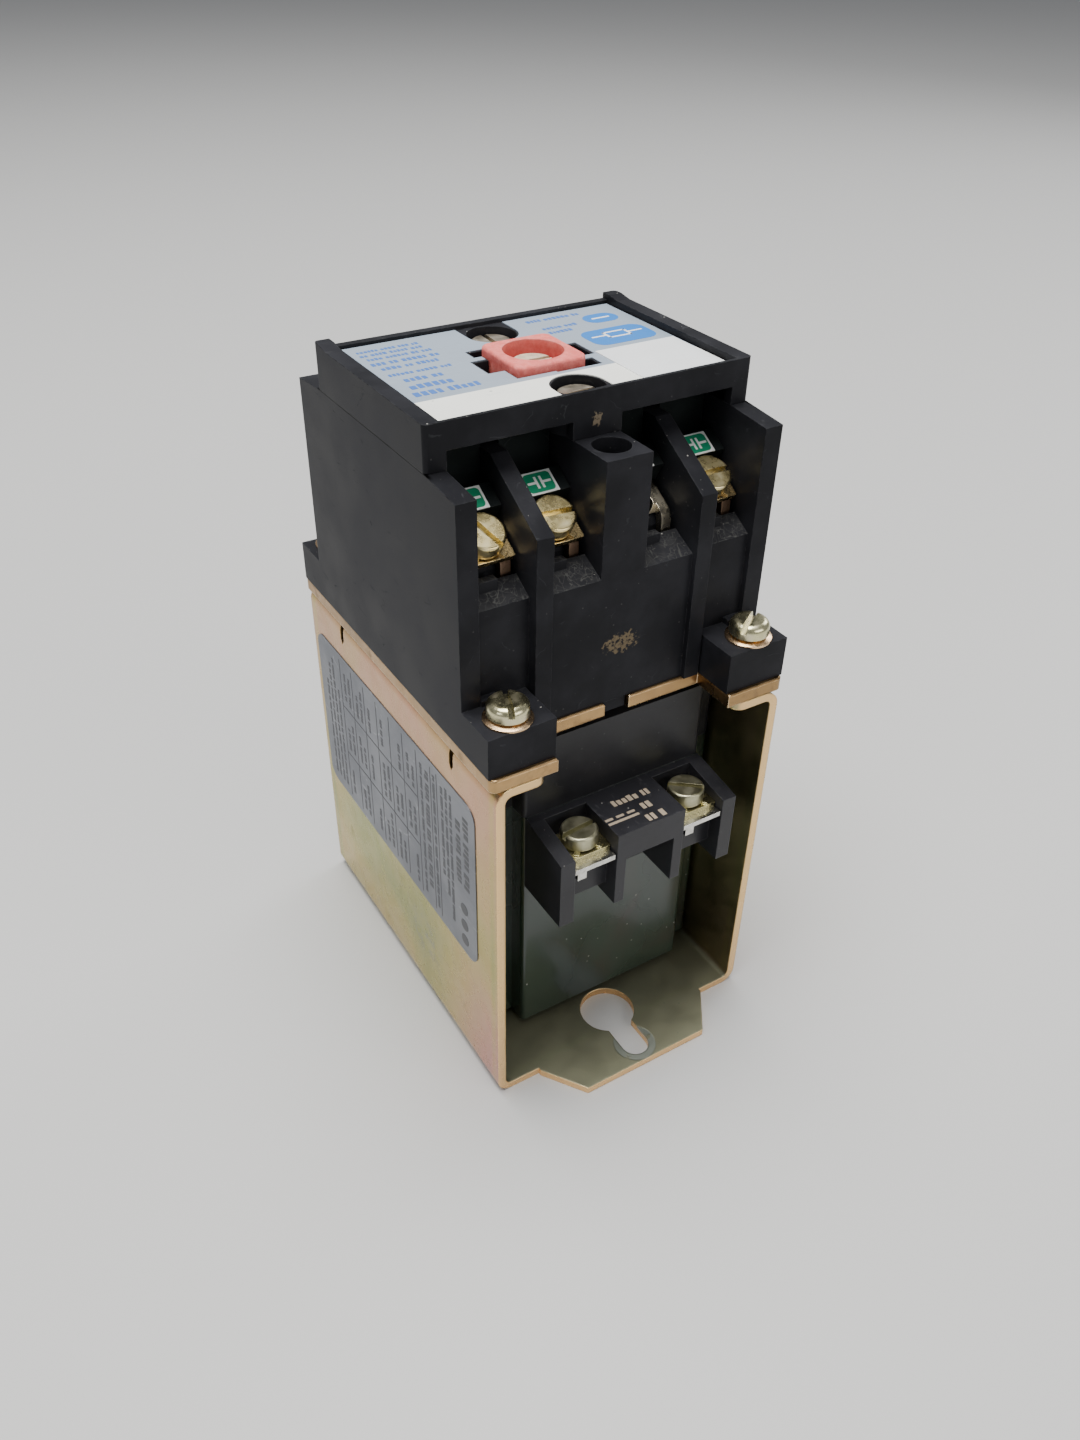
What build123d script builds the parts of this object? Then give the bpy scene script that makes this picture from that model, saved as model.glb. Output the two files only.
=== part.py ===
from build123d import *
import math
import os

# Industrial control relay, four poles, direct-current coil.
# Millimetres. +Z is up, the coil frame stands on z = 0, and the plunger's axis is the Z axis.
# -Y is the terminal end that carries the coil terminals. The contact terminals are at both ends.

# ---- driving dimensions -------------------------------------------------------------------

# folded steel magnet frame
FRAME_WIDTH = 57.0
FRAME_DEPTH = 75.0
FRAME_HEIGHT = 74.5
FRAME_SHEET = 1.6
FRAME_BEND = 3.0
FLANGE = 9.6
FOOT_ROOT = 39.0
FOOT_TIP = 27.5
FOOT_LENGTH = 8.8
KEYHOLE_HEAD_R = 5.5
KEYHOLE_HEAD_Y = 32.2
KEYHOLE_NECK_R = 2.75
KEYHOLE_NECK_Y = 42.0
SLIT_Y = 22.3
SLIT_HALF = 0.7
SLIT_TOP = 73.0
SLIT_SHOULDER = 70.0
SLIT_POINT = 68.8

# steel pole plate that carries the contact block
PLATE_WIDTH = 58.4
PLATE_DEPTH = 74.8
PLATE_THICK = 2.4
PLATE_NOTCH = 34.2
PLATE_NOTCH_Y = 28.7
PLATE_SLOT = 4.9
PLATE_SLOT_Y = 25.9
BASE_Z = FRAME_HEIGHT + PLATE_THICK

# moulded contact block
HOUSE_WIDTH = 58.6
WALL = 3.4
WALL_Y = 28.2
WALL_TOP = 120.4
BARRIER_IN = 13.6
BARRIER_OUT = 16.6
BARRIER_Y = 29.2
POST_HALF = 4.15
POST_Y = 28.1
POST_TOP = WALL_TOP
POST_HOLE_R = 3.1
POST_HOLE_Y = 23.1
POST_HOLE_DEPTH = 12.0
COLUMN_Y = 27.1
CENTRE_Y = POST_Y
SHELF_FRONT_Z = 100.8
SHELF_BACK_Y = 23.1
FLOOR = 4.0
EAR_IN = 17.1
EAR_Y = 36.6
EAR_TOP = 84.5
EAR_SCREW_X = 23.7
EAR_SCREW_Y = 32.9
EAR_HOLE_R = 2.15

# terminals: everything on them follows one incline that falls towards the end of the relay
SLOPE = 30.5
POLE_X = (-21.25, -8.9, 8.9, 21.25)
FACE_Y = -21.9
FACE_Z = 111.0
HEAD_R = 3.45
HEAD_HIGH = 2.5
TANG_HIGH = 0.4
CLAMP_THICK = 1.0
CLAMP_WIDE = 8.6
CLAMP_LONG = 7.1
CLAMP_SHIFT = -0.2
STRAP_THICK = 1.5
STRAP_WIDE = 8.0
STRAP_FORK = 4.4
STRAP_FOOT_Y = -21.85
STRAP_FOOT_Z = 96.0
STRAP_DROP_Y = -14.2
CONTACT_Z = 103.0
CONTACT_END_Y = -5.6
TIP_Y = 8.0
TIP_R = 1.9
TIP_HIGH = 0.8

# cover
COVER_FRONT_Y = -19.2
COVER_BACK_Y = 19.8
COVER_TOP = 127.8
LABEL_Z = 126.5
LIP_SIDE = 2.7
LIP_FRONT = 0.6
RIDGE = 1.5
RIDGE_TOP = 127.2
LUG_TOP = 128.2
LUG_LONG = 2.0
LUG_RAMP = 2.6
COVER_SKIRT_Z = 123.4
COVER_LEG = 3.5
COVER_TONGUE = 8.8
COVER_SKIN = 1.8
COVER_SCREW_Y = 13.6
COVER_BORE_R = 4.3
COVER_SEAT_Z = 123.6

# moving carrier and its travel
STROKE = 3.0
HEAD_SIDE = 13.0
HEAD_TOP = 128.0
HEAD_FOOT = 121.6
HEAD_GUIDE = 0.2
CARRIER_NECK = 3.8
CROSSBAR_LOW = 112.0
CROSSBAR_HIGH = 116.0
BRIDGE_THICK = 1.2
BRIDGE_WIDE = 6.0
BRIDGE_HALF = 10.2
CONTACT_GAP = STROKE + 0.05

# coil and magnet
COIL_HALF_X = 19.0
COIL_HALF_Y = 27.0
COIL_BODY_X = 26.6
COIL_BODY_Y = 23.0
COIL_SEAM_Z = 56.6
COIL_TOP_Z = 72.2
COIL_FOOT_Z = 3.2
BOBBIN_R = 12.4
WINDING_R = 17.4
TUBE_R = 10.4
TUBE_BORE_R = 9.36
PLUNGER_R = 9.3
CORE_TOP_Z = 28.0
SHIM = 0.25
PLUNGER_LOW = CORE_TOP_Z + SHIM + STROKE
PLUNGER_TOP = 76.4
SPRING_POCKET_R = 5.6
SPRING_POCKET = 8.0
STEM_R = 2.5
STEM_TOP = 111.0

# coil terminal block
BLOCK_HALF = 18.7
BLOCK_FRONT_Y = -39.0
BLOCK_LOW_Z = 40.5
BLOCK_TOP_Z = 56.5
BLOCK_CHEEK = 2.9
BLOCK_MIDDLE = 7.15
BLOCK_RIB = 2.0
PAD_Z = 51.2
COIL_POLE_X = 11.5
COIL_SCREW_Y = -33.3
COIL_STRAP_HALF = 4.1
COIL_STRAP_THICK = 1.0
CHEEK_TIP_Z = 54.7
CELL_ROOF_Z = 43.4
COIL_OFFSET = 1.8

os.makedirs("parts", exist_ok=True)

TAN = math.tan(math.radians(SLOPE))
COS = math.cos(math.radians(SLOPE))
HALF = HOUSE_WIDTH / 2
WALL_IN = HALF - WALL
CLAMP_TOP = HEAD_HIGH + TANG_HIGH
STRAP_TOP = CLAMP_TOP + CLAMP_THICK
CARTRIDGE_HALF = 4.55


def incline(depth, y):
    """Height, at y, of the incline that lies this depth under the terminal screws' faces."""
    return FACE_Z + (y - FACE_Y) * TAN - depth / COS


def terminal_plane(x, depth):
    """The plane square to a front terminal screw, at a depth under its face."""
    normal = (0, -math.sin(math.radians(SLOPE)), COS)
    centre = (x, FACE_Y - depth * normal[1], FACE_Z - depth * normal[2])
    return Plane(origin=centre, x_dir=(1, 0, 0), z_dir=normal)


def side_outline(points, x):
    """A closed outline of (y, z) points, drawn on the plane across the relay at x."""
    with BuildSketch(Plane.YZ.offset(x)) as outline:
        with BuildLine():
            Polyline(*points, close=True)
        make_face()
    return outline.sketch


def side_block(points, x_low, x_high, mode=Mode.ADD):
    """A prism between two widths, from an outline of (y, z) points."""
    extrude(side_outline(points, x_low), amount=x_high - x_low, mode=mode)


def block(x_span, y_span, z_span, mode=Mode.ADD):
    """A box between a low and a high value on each axis."""
    spans = (x_span, y_span, z_span)
    centre = [(low + high) / 2 for low, high in spans]
    with Locations(tuple(centre)):
        Box(*[high - low for low, high in spans], mode=mode)


def tube(radius, z_low, z_high, x=0.0, y=0.0, mode=Mode.ADD):
    """An upright cylinder between two heights."""
    with Locations((x, y, (z_low + z_high) / 2)):
        Cylinder(radius, z_high - z_low, mode=mode)


def save(builder, label):
    """Labels a finished piece and writes it."""
    builder.part.label = label
    export_step(builder.part, f"parts/{label}.step")


# ---- fastener patterns, each standing on z = 0 under its head -----------------------------


def slotted_screw(head_r, head_high, dome, shank_r, shank_long, slot_wide, slot_deep):
    """A slotted screw with its head above z = 0 and its shank below."""
    with BuildPart() as screw:
        Cylinder(head_r, head_high, align=(Align.CENTER, Align.CENTER, Align.MIN))
        fillet(screw.edges().filter_by(GeomType.CIRCLE).sort_by(Axis.Z)[-1], dome)
        Cylinder(shank_r, shank_long, align=(Align.CENTER, Align.CENTER, Align.MAX))
        chamfer(screw.edges().filter_by(GeomType.CIRCLE).sort_by(Axis.Z)[0], shank_r * 0.3)
        with Locations((0, 0, head_high)):
            Box(3 * head_r, slot_wide, 2 * slot_deep, mode=Mode.SUBTRACT)
    return screw.part


terminal_screw = slotted_screw(HEAD_R, HEAD_HIGH, 0.45, 1.75, 6.4, 0.95, 1.1)
coil_screw = slotted_screw(3.35, 2.6, 0.5, 1.75, 6.0, 0.95, 1.2)
ear_screw = slotted_screw(3.45, 2.5, 1.3, 1.95, 13.6, 1.0, 1.4)
cover_screw = slotted_screw(3.5, 1.9, 0.4, 1.7, 14.0, 0.9, 1.0)

with BuildPart() as clamp_plate:
    with BuildSketch():
        with Locations((0, CLAMP_SHIFT)):
            RectangleRounded(CLAMP_WIDE, CLAMP_LONG, 0.4)
        Circle(2.2, mode=Mode.SUBTRACT)
    extrude(amount=CLAMP_THICK)
    for turn in (-38, 38):
        with Locations(Location((turn / 20, -2.4, CLAMP_THICK), (0, 0, turn))):
            Box(1.0, 2.6, TANG_HIGH, align=(Align.CENTER, Align.CENTER, Align.MIN))

# ---- magnet frame: one folded sheet, open at both ends ------------------------------------

with BuildPart() as magnet_frame:
    with BuildSketch(Plane.XZ):
        with Locations((0, FRAME_HEIGHT / 2)):
            RectangleRounded(FRAME_WIDTH, FRAME_HEIGHT, FRAME_BEND)
            RectangleRounded(
                FRAME_WIDTH - 2 * FRAME_SHEET,
                FRAME_HEIGHT - 2 * FRAME_SHEET,
                FRAME_BEND - FRAME_SHEET,
                mode=Mode.SUBTRACT,
            )
        with Locations((0, FRAME_HEIGHT)):
            Rectangle(FRAME_WIDTH - 2 * FLANGE, 4 * FRAME_SHEET, mode=Mode.SUBTRACT)
    extrude(amount=FRAME_DEPTH / 2, both=True)
    flange_corners = magnet_frame.edges().filter_by(Axis.Z).group_by(Axis.Z)[-1]
    fillet(flange_corners, 2.2)
    # mounting feet: a keyhole at the terminal end, a round hole at the other
    for end in (-1, 1):
        edge_y = end * FRAME_DEPTH / 2
        tip_y = edge_y + end * FOOT_LENGTH
        with BuildSketch(Plane.XY):
            with BuildLine():
                Polyline(
                    (-FOOT_ROOT / 2, edge_y - end * 2),
                    (-FOOT_ROOT / 2, edge_y + end * 0.6),
                    (-FOOT_TIP / 2, tip_y),
                    (FOOT_TIP / 2, tip_y),
                    (FOOT_ROOT / 2, edge_y + end * 0.6),
                    (FOOT_ROOT / 2, edge_y - end * 2),
                    close=True,
                )
            make_face()
        extrude(amount=FRAME_SHEET)
        tube(KEYHOLE_NECK_R, 0, FRAME_SHEET, y=end * KEYHOLE_NECK_Y, mode=Mode.SUBTRACT)
    tube(KEYHOLE_HEAD_R, 0, FRAME_SHEET, y=-KEYHOLE_HEAD_Y, mode=Mode.SUBTRACT)
    block(
        (-KEYHOLE_NECK_R, KEYHOLE_NECK_R),
        (-KEYHOLE_NECK_Y, -KEYHOLE_HEAD_Y),
        (0, FRAME_SHEET),
        mode=Mode.SUBTRACT,
    )
    # tapped holes for the corner screws, the hole for the core's rivet, locating slits
    for x in (-EAR_SCREW_X, EAR_SCREW_X):
        for y in (-EAR_SCREW_Y, EAR_SCREW_Y):
            tube(2.0, FRAME_HEIGHT - 4, FRAME_HEIGHT, x, y, mode=Mode.SUBTRACT)
    tube(4.0, 0, FRAME_SHEET, mode=Mode.SUBTRACT)
    for y in (-SLIT_Y, SLIT_Y):
        slit = [
            (y - SLIT_HALF, SLIT_TOP),
            (y + SLIT_HALF, SLIT_TOP),
            (y + SLIT_HALF, SLIT_SHOULDER),
            (y, SLIT_POINT),
            (y - SLIT_HALF, SLIT_SHOULDER),
        ]
        for x in (-FRAME_WIDTH / 2, FRAME_WIDTH / 2):
            side_block(slit, x - FRAME_SHEET, x + FRAME_SHEET, mode=Mode.SUBTRACT)
save(magnet_frame, "magnet_frame")

with BuildPart() as pole_plate:
    with BuildSketch(Plane.XY.offset(FRAME_HEIGHT)):
        RectangleRounded(PLATE_WIDTH, PLATE_DEPTH, 1.3)
        notch_long = PLATE_DEPTH / 2 - PLATE_NOTCH_Y
        for end in (-1, 1):
            with Locations((0, end * (PLATE_NOTCH_Y + notch_long / 2))):
                Rectangle(PLATE_NOTCH, notch_long, mode=Mode.SUBTRACT)
            with Locations((0, end * (PLATE_NOTCH_Y + PLATE_SLOT_Y) / 2)):
                Rectangle(PLATE_SLOT, PLATE_NOTCH_Y - PLATE_SLOT_Y, mode=Mode.SUBTRACT)
        with GridLocations(2 * EAR_SCREW_X, 2 * EAR_SCREW_Y, 2, 2):
            Circle(EAR_HOLE_R, mode=Mode.SUBTRACT)
        Circle(PLUNGER_R + 0.5, mode=Mode.SUBTRACT)
    extrude(amount=PLATE_THICK)
    chamfer(pole_plate.faces().sort_by(Axis.Z)[-1].outer_wire().edges(), 0.25)
save(pole_plate, "pole_plate")

# ---- magnet: fixed core, guide tube, coil ---------------------------------------------------

with BuildPart() as fixed_core:
    tube(PLUNGER_R, FRAME_SHEET, CORE_TOP_Z)
    tube(3.95, 0.1, FRAME_SHEET)
    tube(SPRING_POCKET_R, CORE_TOP_Z - SPRING_POCKET, CORE_TOP_Z, mode=Mode.SUBTRACT)
    chamfer(fixed_core.faces().sort_by(Axis.Z)[-1].outer_wire().edges(), 0.4)
save(fixed_core, "fixed_core")

with BuildPart() as residual_shim:
    tube(PLUNGER_R - 0.2, CORE_TOP_Z, CORE_TOP_Z + SHIM - 0.02)
    tube(SPRING_POCKET_R + 0.3, CORE_TOP_Z, CORE_TOP_Z + SHIM, mode=Mode.SUBTRACT)
save(residual_shim, "residual_shim")

with BuildPart() as guide_tube:
    tube(TUBE_R, COIL_FOOT_Z + 6, FRAME_HEIGHT - 0.1)
    tube(TUBE_BORE_R, COIL_FOOT_Z + 6, FRAME_HEIGHT - 0.1, mode=Mode.SUBTRACT)
save(guide_tube, "guide_tube")

with BuildPart() as coil_bobbin:
    tube(BOBBIN_R, COIL_FOOT_Z + 0.3, COIL_TOP_Z - 0.3)
    tube(WINDING_R, COIL_FOOT_Z + 0.3, COIL_FOOT_Z + 2.3)
    tube(WINDING_R, COIL_SEAM_Z - 2.6, COIL_SEAM_Z - 0.2)
    tube(TUBE_R + 0.1, COIL_FOOT_Z, COIL_TOP_Z, mode=Mode.SUBTRACT)
save(coil_bobbin, "coil_bobbin")

with BuildPart() as coil_winding:
    tube(WINDING_R, COIL_FOOT_Z + 2.35, COIL_SEAM_Z - 2.65)
    tube(BOBBIN_R + 0.05, COIL_FOOT_Z + 2.35, COIL_SEAM_Z - 2.65, mode=Mode.SUBTRACT)
save(coil_winding, "coil_winding")


def coil_body(z_low, z_high):
    """The coil's moulded outline: a wide body, and a narrower boss set off centre at each end."""
    with BuildSketch(Plane.XY.offset(z_low)) as outline:
        RectangleRounded(2 * COIL_BODY_X, 2 * COIL_BODY_Y, 1.5)
        with Locations((COIL_OFFSET, 0)):
            RectangleRounded(2 * COIL_HALF_X, 2 * COIL_HALF_Y, 1.0)
    extrude(outline.sketch, amount=z_high - z_low)


with BuildPart() as coil_jacket:
    coil_body(COIL_FOOT_Z, COIL_SEAM_Z)
    tube(WINDING_R + 0.05, COIL_FOOT_Z, COIL_SEAM_Z, mode=Mode.SUBTRACT)
save(coil_jacket, "coil_jacket")

with BuildPart() as coil_cap:
    coil_body(COIL_SEAM_Z, COIL_TOP_Z)
    tube(BOBBIN_R + 0.05, COIL_SEAM_Z, COIL_TOP_Z, mode=Mode.SUBTRACT)
save(coil_cap, "coil_cap")

with BuildPart() as coil_terminal_block:
    block(
        (COIL_OFFSET - BLOCK_HALF, COIL_OFFSET + BLOCK_HALF),
        (BLOCK_FRONT_Y, -COIL_HALF_Y),
        (BLOCK_LOW_Z, BLOCK_TOP_Z),
    )
    for side in (-1, 1):
        inner_x = COIL_OFFSET + side * BLOCK_MIDDLE
        cell_x = sorted((inner_x, COIL_OFFSET + side * (BLOCK_HALF - BLOCK_CHEEK)))
        # the cheek's upper edge falls a little towards the front
        side_block(
            [
                (BLOCK_FRONT_Y, CHEEK_TIP_Z),
                (-COIL_HALF_Y - 1.5, BLOCK_TOP_Z),
                (BLOCK_FRONT_Y, BLOCK_TOP_Z),
            ],
            *sorted((inner_x, COIL_OFFSET + side * BLOCK_HALF)),
            mode=Mode.SUBTRACT,
        )
        # room for the clamp above the pad, and the open cell below it
        block(cell_x, (BLOCK_FRONT_Y, -28.6), (PAD_Z, BLOCK_TOP_Z), mode=Mode.SUBTRACT)
        block(cell_x, (BLOCK_FRONT_Y, -30.6), (BLOCK_LOW_Z, CELL_ROOF_Z), mode=Mode.SUBTRACT)
        block(cell_x, (BLOCK_FRONT_Y, -36.0), (BLOCK_LOW_Z, PAD_Z), mode=Mode.SUBTRACT)
        # a hole under the pad for the tip of the screw
        pole_x = COIL_OFFSET + side * COIL_POLE_X
        tube(1.8, CELL_ROOF_Z, PAD_Z, pole_x, COIL_SCREW_Y, mode=Mode.SUBTRACT)
    # window under the middle, between two ribs
    window = BLOCK_MIDDLE - BLOCK_RIB
    window_x = (COIL_OFFSET - window, COIL_OFFSET + window)
    block(window_x, (BLOCK_FRONT_Y, -30.6), (BLOCK_LOW_Z, 50.6), mode=Mode.SUBTRACT)
save(coil_terminal_block, "coil_terminal_block")

coil_poles = [COIL_OFFSET - COIL_POLE_X, COIL_OFFSET + COIL_POLE_X]

with BuildPart() as coil_terminals:
    for x in coil_poles:
        block(
            (x - COIL_STRAP_HALF, x + COIL_STRAP_HALF),
            (BLOCK_FRONT_Y + 0.2, -28.8),
            (PAD_Z, PAD_Z + COIL_STRAP_THICK),
        )
        # the wire's soldering lug, bent down at one side
        lug_x = (x - COIL_STRAP_HALF + 0.5, x - COIL_STRAP_HALF + 2.3)
        lug_y = (BLOCK_FRONT_Y + 0.2, BLOCK_FRONT_Y + 1.2)
        block(lug_x, lug_y, (PAD_Z - 1.5, PAD_Z))
        tube(1.8, PAD_Z, PAD_Z + COIL_STRAP_THICK, x, COIL_SCREW_Y, mode=Mode.SUBTRACT)
save(coil_terminals, "coil_terminals")

with BuildPart() as coil_clamps:
    for x in coil_poles:
        with Locations((x, COIL_SCREW_Y, PAD_Z + COIL_STRAP_THICK)):
            add(clamp_plate.part)
save(coil_clamps, "coil_clamps")

with BuildPart() as coil_screws:
    for x, turn in zip(coil_poles, (5, -38)):
        height = PAD_Z + COIL_STRAP_THICK + CLAMP_THICK + TANG_HIGH
        with Locations(Location((x, COIL_SCREW_Y, height), (0, 0, turn))):
            add(coil_screw)
save(coil_screws, "coil_screws")

# ---- contact block housing ----------------------------------------------------------------

shelf_back_z = SHELF_FRONT_Z + (COLUMN_Y - SHELF_BACK_Y) * TAN
strap_under = STRAP_TOP + STRAP_THICK + 0.05


def pedestal(front_y):
    """The front half of one pole's pedestal: shelf, strap slot, sloping seat and inner ledge."""
    return [
        (-front_y, BASE_Z),
        (-front_y, SHELF_FRONT_Z),
        (-SHELF_BACK_Y, shelf_back_z),
        (-SHELF_BACK_Y, STRAP_FOOT_Z - 0.5),
        (-21.0, STRAP_FOOT_Z - 0.5),
        (-21.0, 103.6),
        (-20.2, incline(strap_under, -20.2)),
        (-16.0, incline(strap_under, -16.0)),
        (-15.1, 107.2),
        (-15.1, CONTACT_Z - 0.8),
        (-5.2, CONTACT_Z - 0.8),
        (-5.2, BASE_Z),
    ]


with BuildPart() as base_housing:
    # front half of the terminal structure, mirrored to the rear
    for side in (-1, 1):
        outer = sorted((side * BARRIER_OUT, side * WALL_IN))
        inner = sorted((side * POST_HALF, side * BARRIER_IN))
        barrier = sorted((side * BARRIER_IN, side * BARRIER_OUT))
        wall = sorted((side * WALL_IN, side * HALF))
        side_block(pedestal(COLUMN_Y), *outer)
        side_block(pedestal(CENTRE_Y), *inner)
        side_block(
            [
                (-BARRIER_Y, BASE_Z),
                (-BARRIER_Y, 111.3),
                (-15.3, 119.5),
                (-5.2, 119.5),
                (-5.2, BASE_Z),
            ],
            *barrier,
        )
        side_block(
            [(-WALL_Y, BASE_Z), (-WALL_Y, 119.6), (-18.9, WALL_TOP), (0, WALL_TOP), (0, BASE_Z)],
            *wall,
        )
        ear = sorted((side * EAR_IN, side * HALF))
        block(ear, (-EAR_Y, -COLUMN_Y + 2), (BASE_Z, EAR_TOP))
        step = sorted((side * (WALL_IN - 3.2), side * WALL_IN))
        block(step, (-WALL_Y - 0.3, -COLUMN_Y + 1), (EAR_TOP, EAR_TOP + 1.1))
        # small step between each shelf and the strap
        for x_low, x_high in (outer, inner):
            block(
                (x_low, x_low + 5.2),
                (-SHELF_BACK_Y - 1.6, -SHELF_BACK_Y),
                (SHELF_FRONT_Z + 1, shelf_back_z + 0.9),
            )
    block((-POST_HALF, POST_HALF), (-POST_Y, -8.6), (BASE_Z, POST_TOP))
    block((-POST_HALF, POST_HALF), (-8.6, -5.2), (BASE_Z, CONTACT_Z - 0.8))
    # each terminal screw runs on into a clearance hole under its strap
    for x in POLE_X:
        with Locations(terminal_plane(x, strap_under - 0.5).location):
            Cylinder(
                2.2, 6.2, align=(Align.CENTER, Align.CENTER, Align.MAX), mode=Mode.SUBTRACT
            )
    mirror(about=Plane.XZ)
    block((-WALL_IN, WALL_IN), (-COLUMN_Y + 1, COLUMN_Y - 1), (BASE_Z, BASE_Z + FLOOR))
    # keys that drop into the pole plate's slots
    for end in (-1, 1):
        key_y = sorted((end * (PLATE_SLOT_Y + 0.2), end * (PLATE_NOTCH_Y - 0.9)))
        block((-2.2, 2.2), key_y, (FRAME_HEIGHT + 0.1, BASE_Z))
        with Locations((0, end * POST_HOLE_Y, POST_TOP)):
            Cylinder(
                POST_HOLE_R,
                POST_HOLE_DEPTH,
                align=(Align.CENTER, Align.CENTER, Align.MAX),
                mode=Mode.SUBTRACT,
            )
        tube(1.8, POST_TOP - 16, POST_TOP, y=end * COVER_SCREW_Y, mode=Mode.SUBTRACT)
    # window that the stem runs through, and screw holes in the ears
    tube(STEM_R + 0.7, BASE_Z, BASE_Z + FLOOR, mode=Mode.SUBTRACT)
    for x in (-EAR_SCREW_X, EAR_SCREW_X):
        for y in (-EAR_SCREW_Y, EAR_SCREW_Y):
            tube(EAR_HOLE_R, BASE_Z, EAR_TOP, x, y, mode=Mode.SUBTRACT)
save(base_housing, "base_housing")

# ---- cover ----------------------------------------------------------------------------------

opening = HEAD_SIDE / 2 + HEAD_GUIDE

with BuildPart() as cover:
    block((-HALF, HALF), (COVER_FRONT_Y, COVER_BACK_Y), (WALL_TOP, COVER_TOP))
    # label recess inside a raised lip, which is thin at the front and lower at the rear
    recess_x = (-HALF + LIP_SIDE, HALF - LIP_SIDE)
    recess_y = (COVER_FRONT_Y + LIP_FRONT, COVER_BACK_Y - RIDGE)
    block(recess_x, recess_y, (LABEL_Z, COVER_TOP), mode=Mode.SUBTRACT)
    ridge_span = (COVER_BACK_Y - RIDGE, COVER_BACK_Y)
    block(recess_x, ridge_span, (RIDGE_TOP, COVER_TOP), mode=Mode.SUBTRACT)
    # the side lips ramp up to a lug at each rear corner
    for side in (-1, 1):
        lug_x = sorted((side * (HALF - LIP_SIDE), side * HALF))
        side_block(
            [
                (COVER_BACK_Y - LUG_LONG - LUG_RAMP, COVER_TOP),
                (COVER_BACK_Y - LUG_LONG, LUG_TOP),
                (COVER_BACK_Y, LUG_TOP),
                (COVER_BACK_Y, COVER_TOP - 1),
                (COVER_BACK_Y - LUG_LONG - LUG_RAMP, COVER_TOP - 1),
            ],
            *lug_x,
        )
    # hollow underside
    block(
        (-HALF + COVER_SKIN, HALF - COVER_SKIN),
        (COVER_FRONT_Y + COVER_SKIN, COVER_BACK_Y - COVER_SKIN),
        (WALL_TOP, COVER_SEAT_Z - 0.2),
        mode=Mode.SUBTRACT,
    )
    # the skirt is cut back between the corner legs and the middle tongue
    for side in (-1, 1):
        gap = sorted((side * COVER_TONGUE / 2, side * (HALF - COVER_LEG)))
        for y_low, y_high in ((COVER_FRONT_Y, 0), (0, COVER_BACK_Y)):
            block(gap, (y_low, y_high), (WALL_TOP, COVER_SKIRT_Z), mode=Mode.SUBTRACT)
    # bosses round the two screws
    for end in (-1, 1):
        tube(COVER_BORE_R + 1.2, WALL_TOP, LABEL_Z - 1, y=end * COVER_SCREW_Y)
    for end in (-1, 1):
        tube(COVER_BORE_R, COVER_SEAT_Z, COVER_TOP, y=end * COVER_SCREW_Y, mode=Mode.SUBTRACT)
        tube(1.9, WALL_TOP, COVER_SEAT_Z, y=end * COVER_SCREW_Y, mode=Mode.SUBTRACT)
    # guide opening of the carrier's head, with its side slots and corner slots
    block((-opening, opening), (-opening, opening), (WALL_TOP, COVER_TOP), mode=Mode.SUBTRACT)
    for side in (-1, 1):
        slot_x = sorted((0, side * 9.5))
        block(slot_x, (-2.6, 2.6), (LABEL_Z - 2.0, COVER_TOP), mode=Mode.SUBTRACT)
        corner_x = sorted((0, side * 8.0))
        corner_y = sorted((-side * 4.6, -side * (opening + 0.4)))
        block(corner_x, corner_y, (LABEL_Z - 2.0, COVER_TOP), mode=Mode.SUBTRACT)
    upright = cover.edges().filter_by(Axis.Z)
    fillet(upright.filter_by(lambda edge: abs(edge.center().X) > HALF - 0.1), 0.8)
save(cover, "cover")

with BuildPart() as cover_screws:
    for end, turn in ((-1, 4), (1, 88)):
        with Locations(Location((0, end * COVER_SCREW_Y, COVER_SEAT_Z), (0, 0, turn))):
            add(cover_screw)
save(cover_screws, "cover_screws")

# ---- corner screws and their conical washers ----------------------------------------------

with BuildPart() as washer:
    with BuildSketch(Plane.XZ):
        with BuildLine():
            Polyline((2.2, 0.7), (4.05, 0), (4.05, 0.35), (2.2, 1.05), close=True)
        make_face()
    revolve(axis=Axis.Z)

EAR_TURNS = {(-1, -1): 70, (1, -1): 33, (-1, 1): 72, (1, 1): 15}

with BuildPart() as corner_washers:
    for side, end in EAR_TURNS:
        with Locations((side * EAR_SCREW_X, end * EAR_SCREW_Y, EAR_TOP)):
            add(washer.part)
save(corner_washers, "corner_washers")

with BuildPart() as corner_screws:
    for (side, end), turn in EAR_TURNS.items():
        spot = (side * EAR_SCREW_X, end * EAR_SCREW_Y, EAR_TOP + 1.06)
        with Locations(Location(spot, (0, 0, turn))):
            add(ear_screw)
save(corner_screws, "corner_screws")

# ---- terminal straps, their contact tips, clamps and screws -------------------------------


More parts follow.
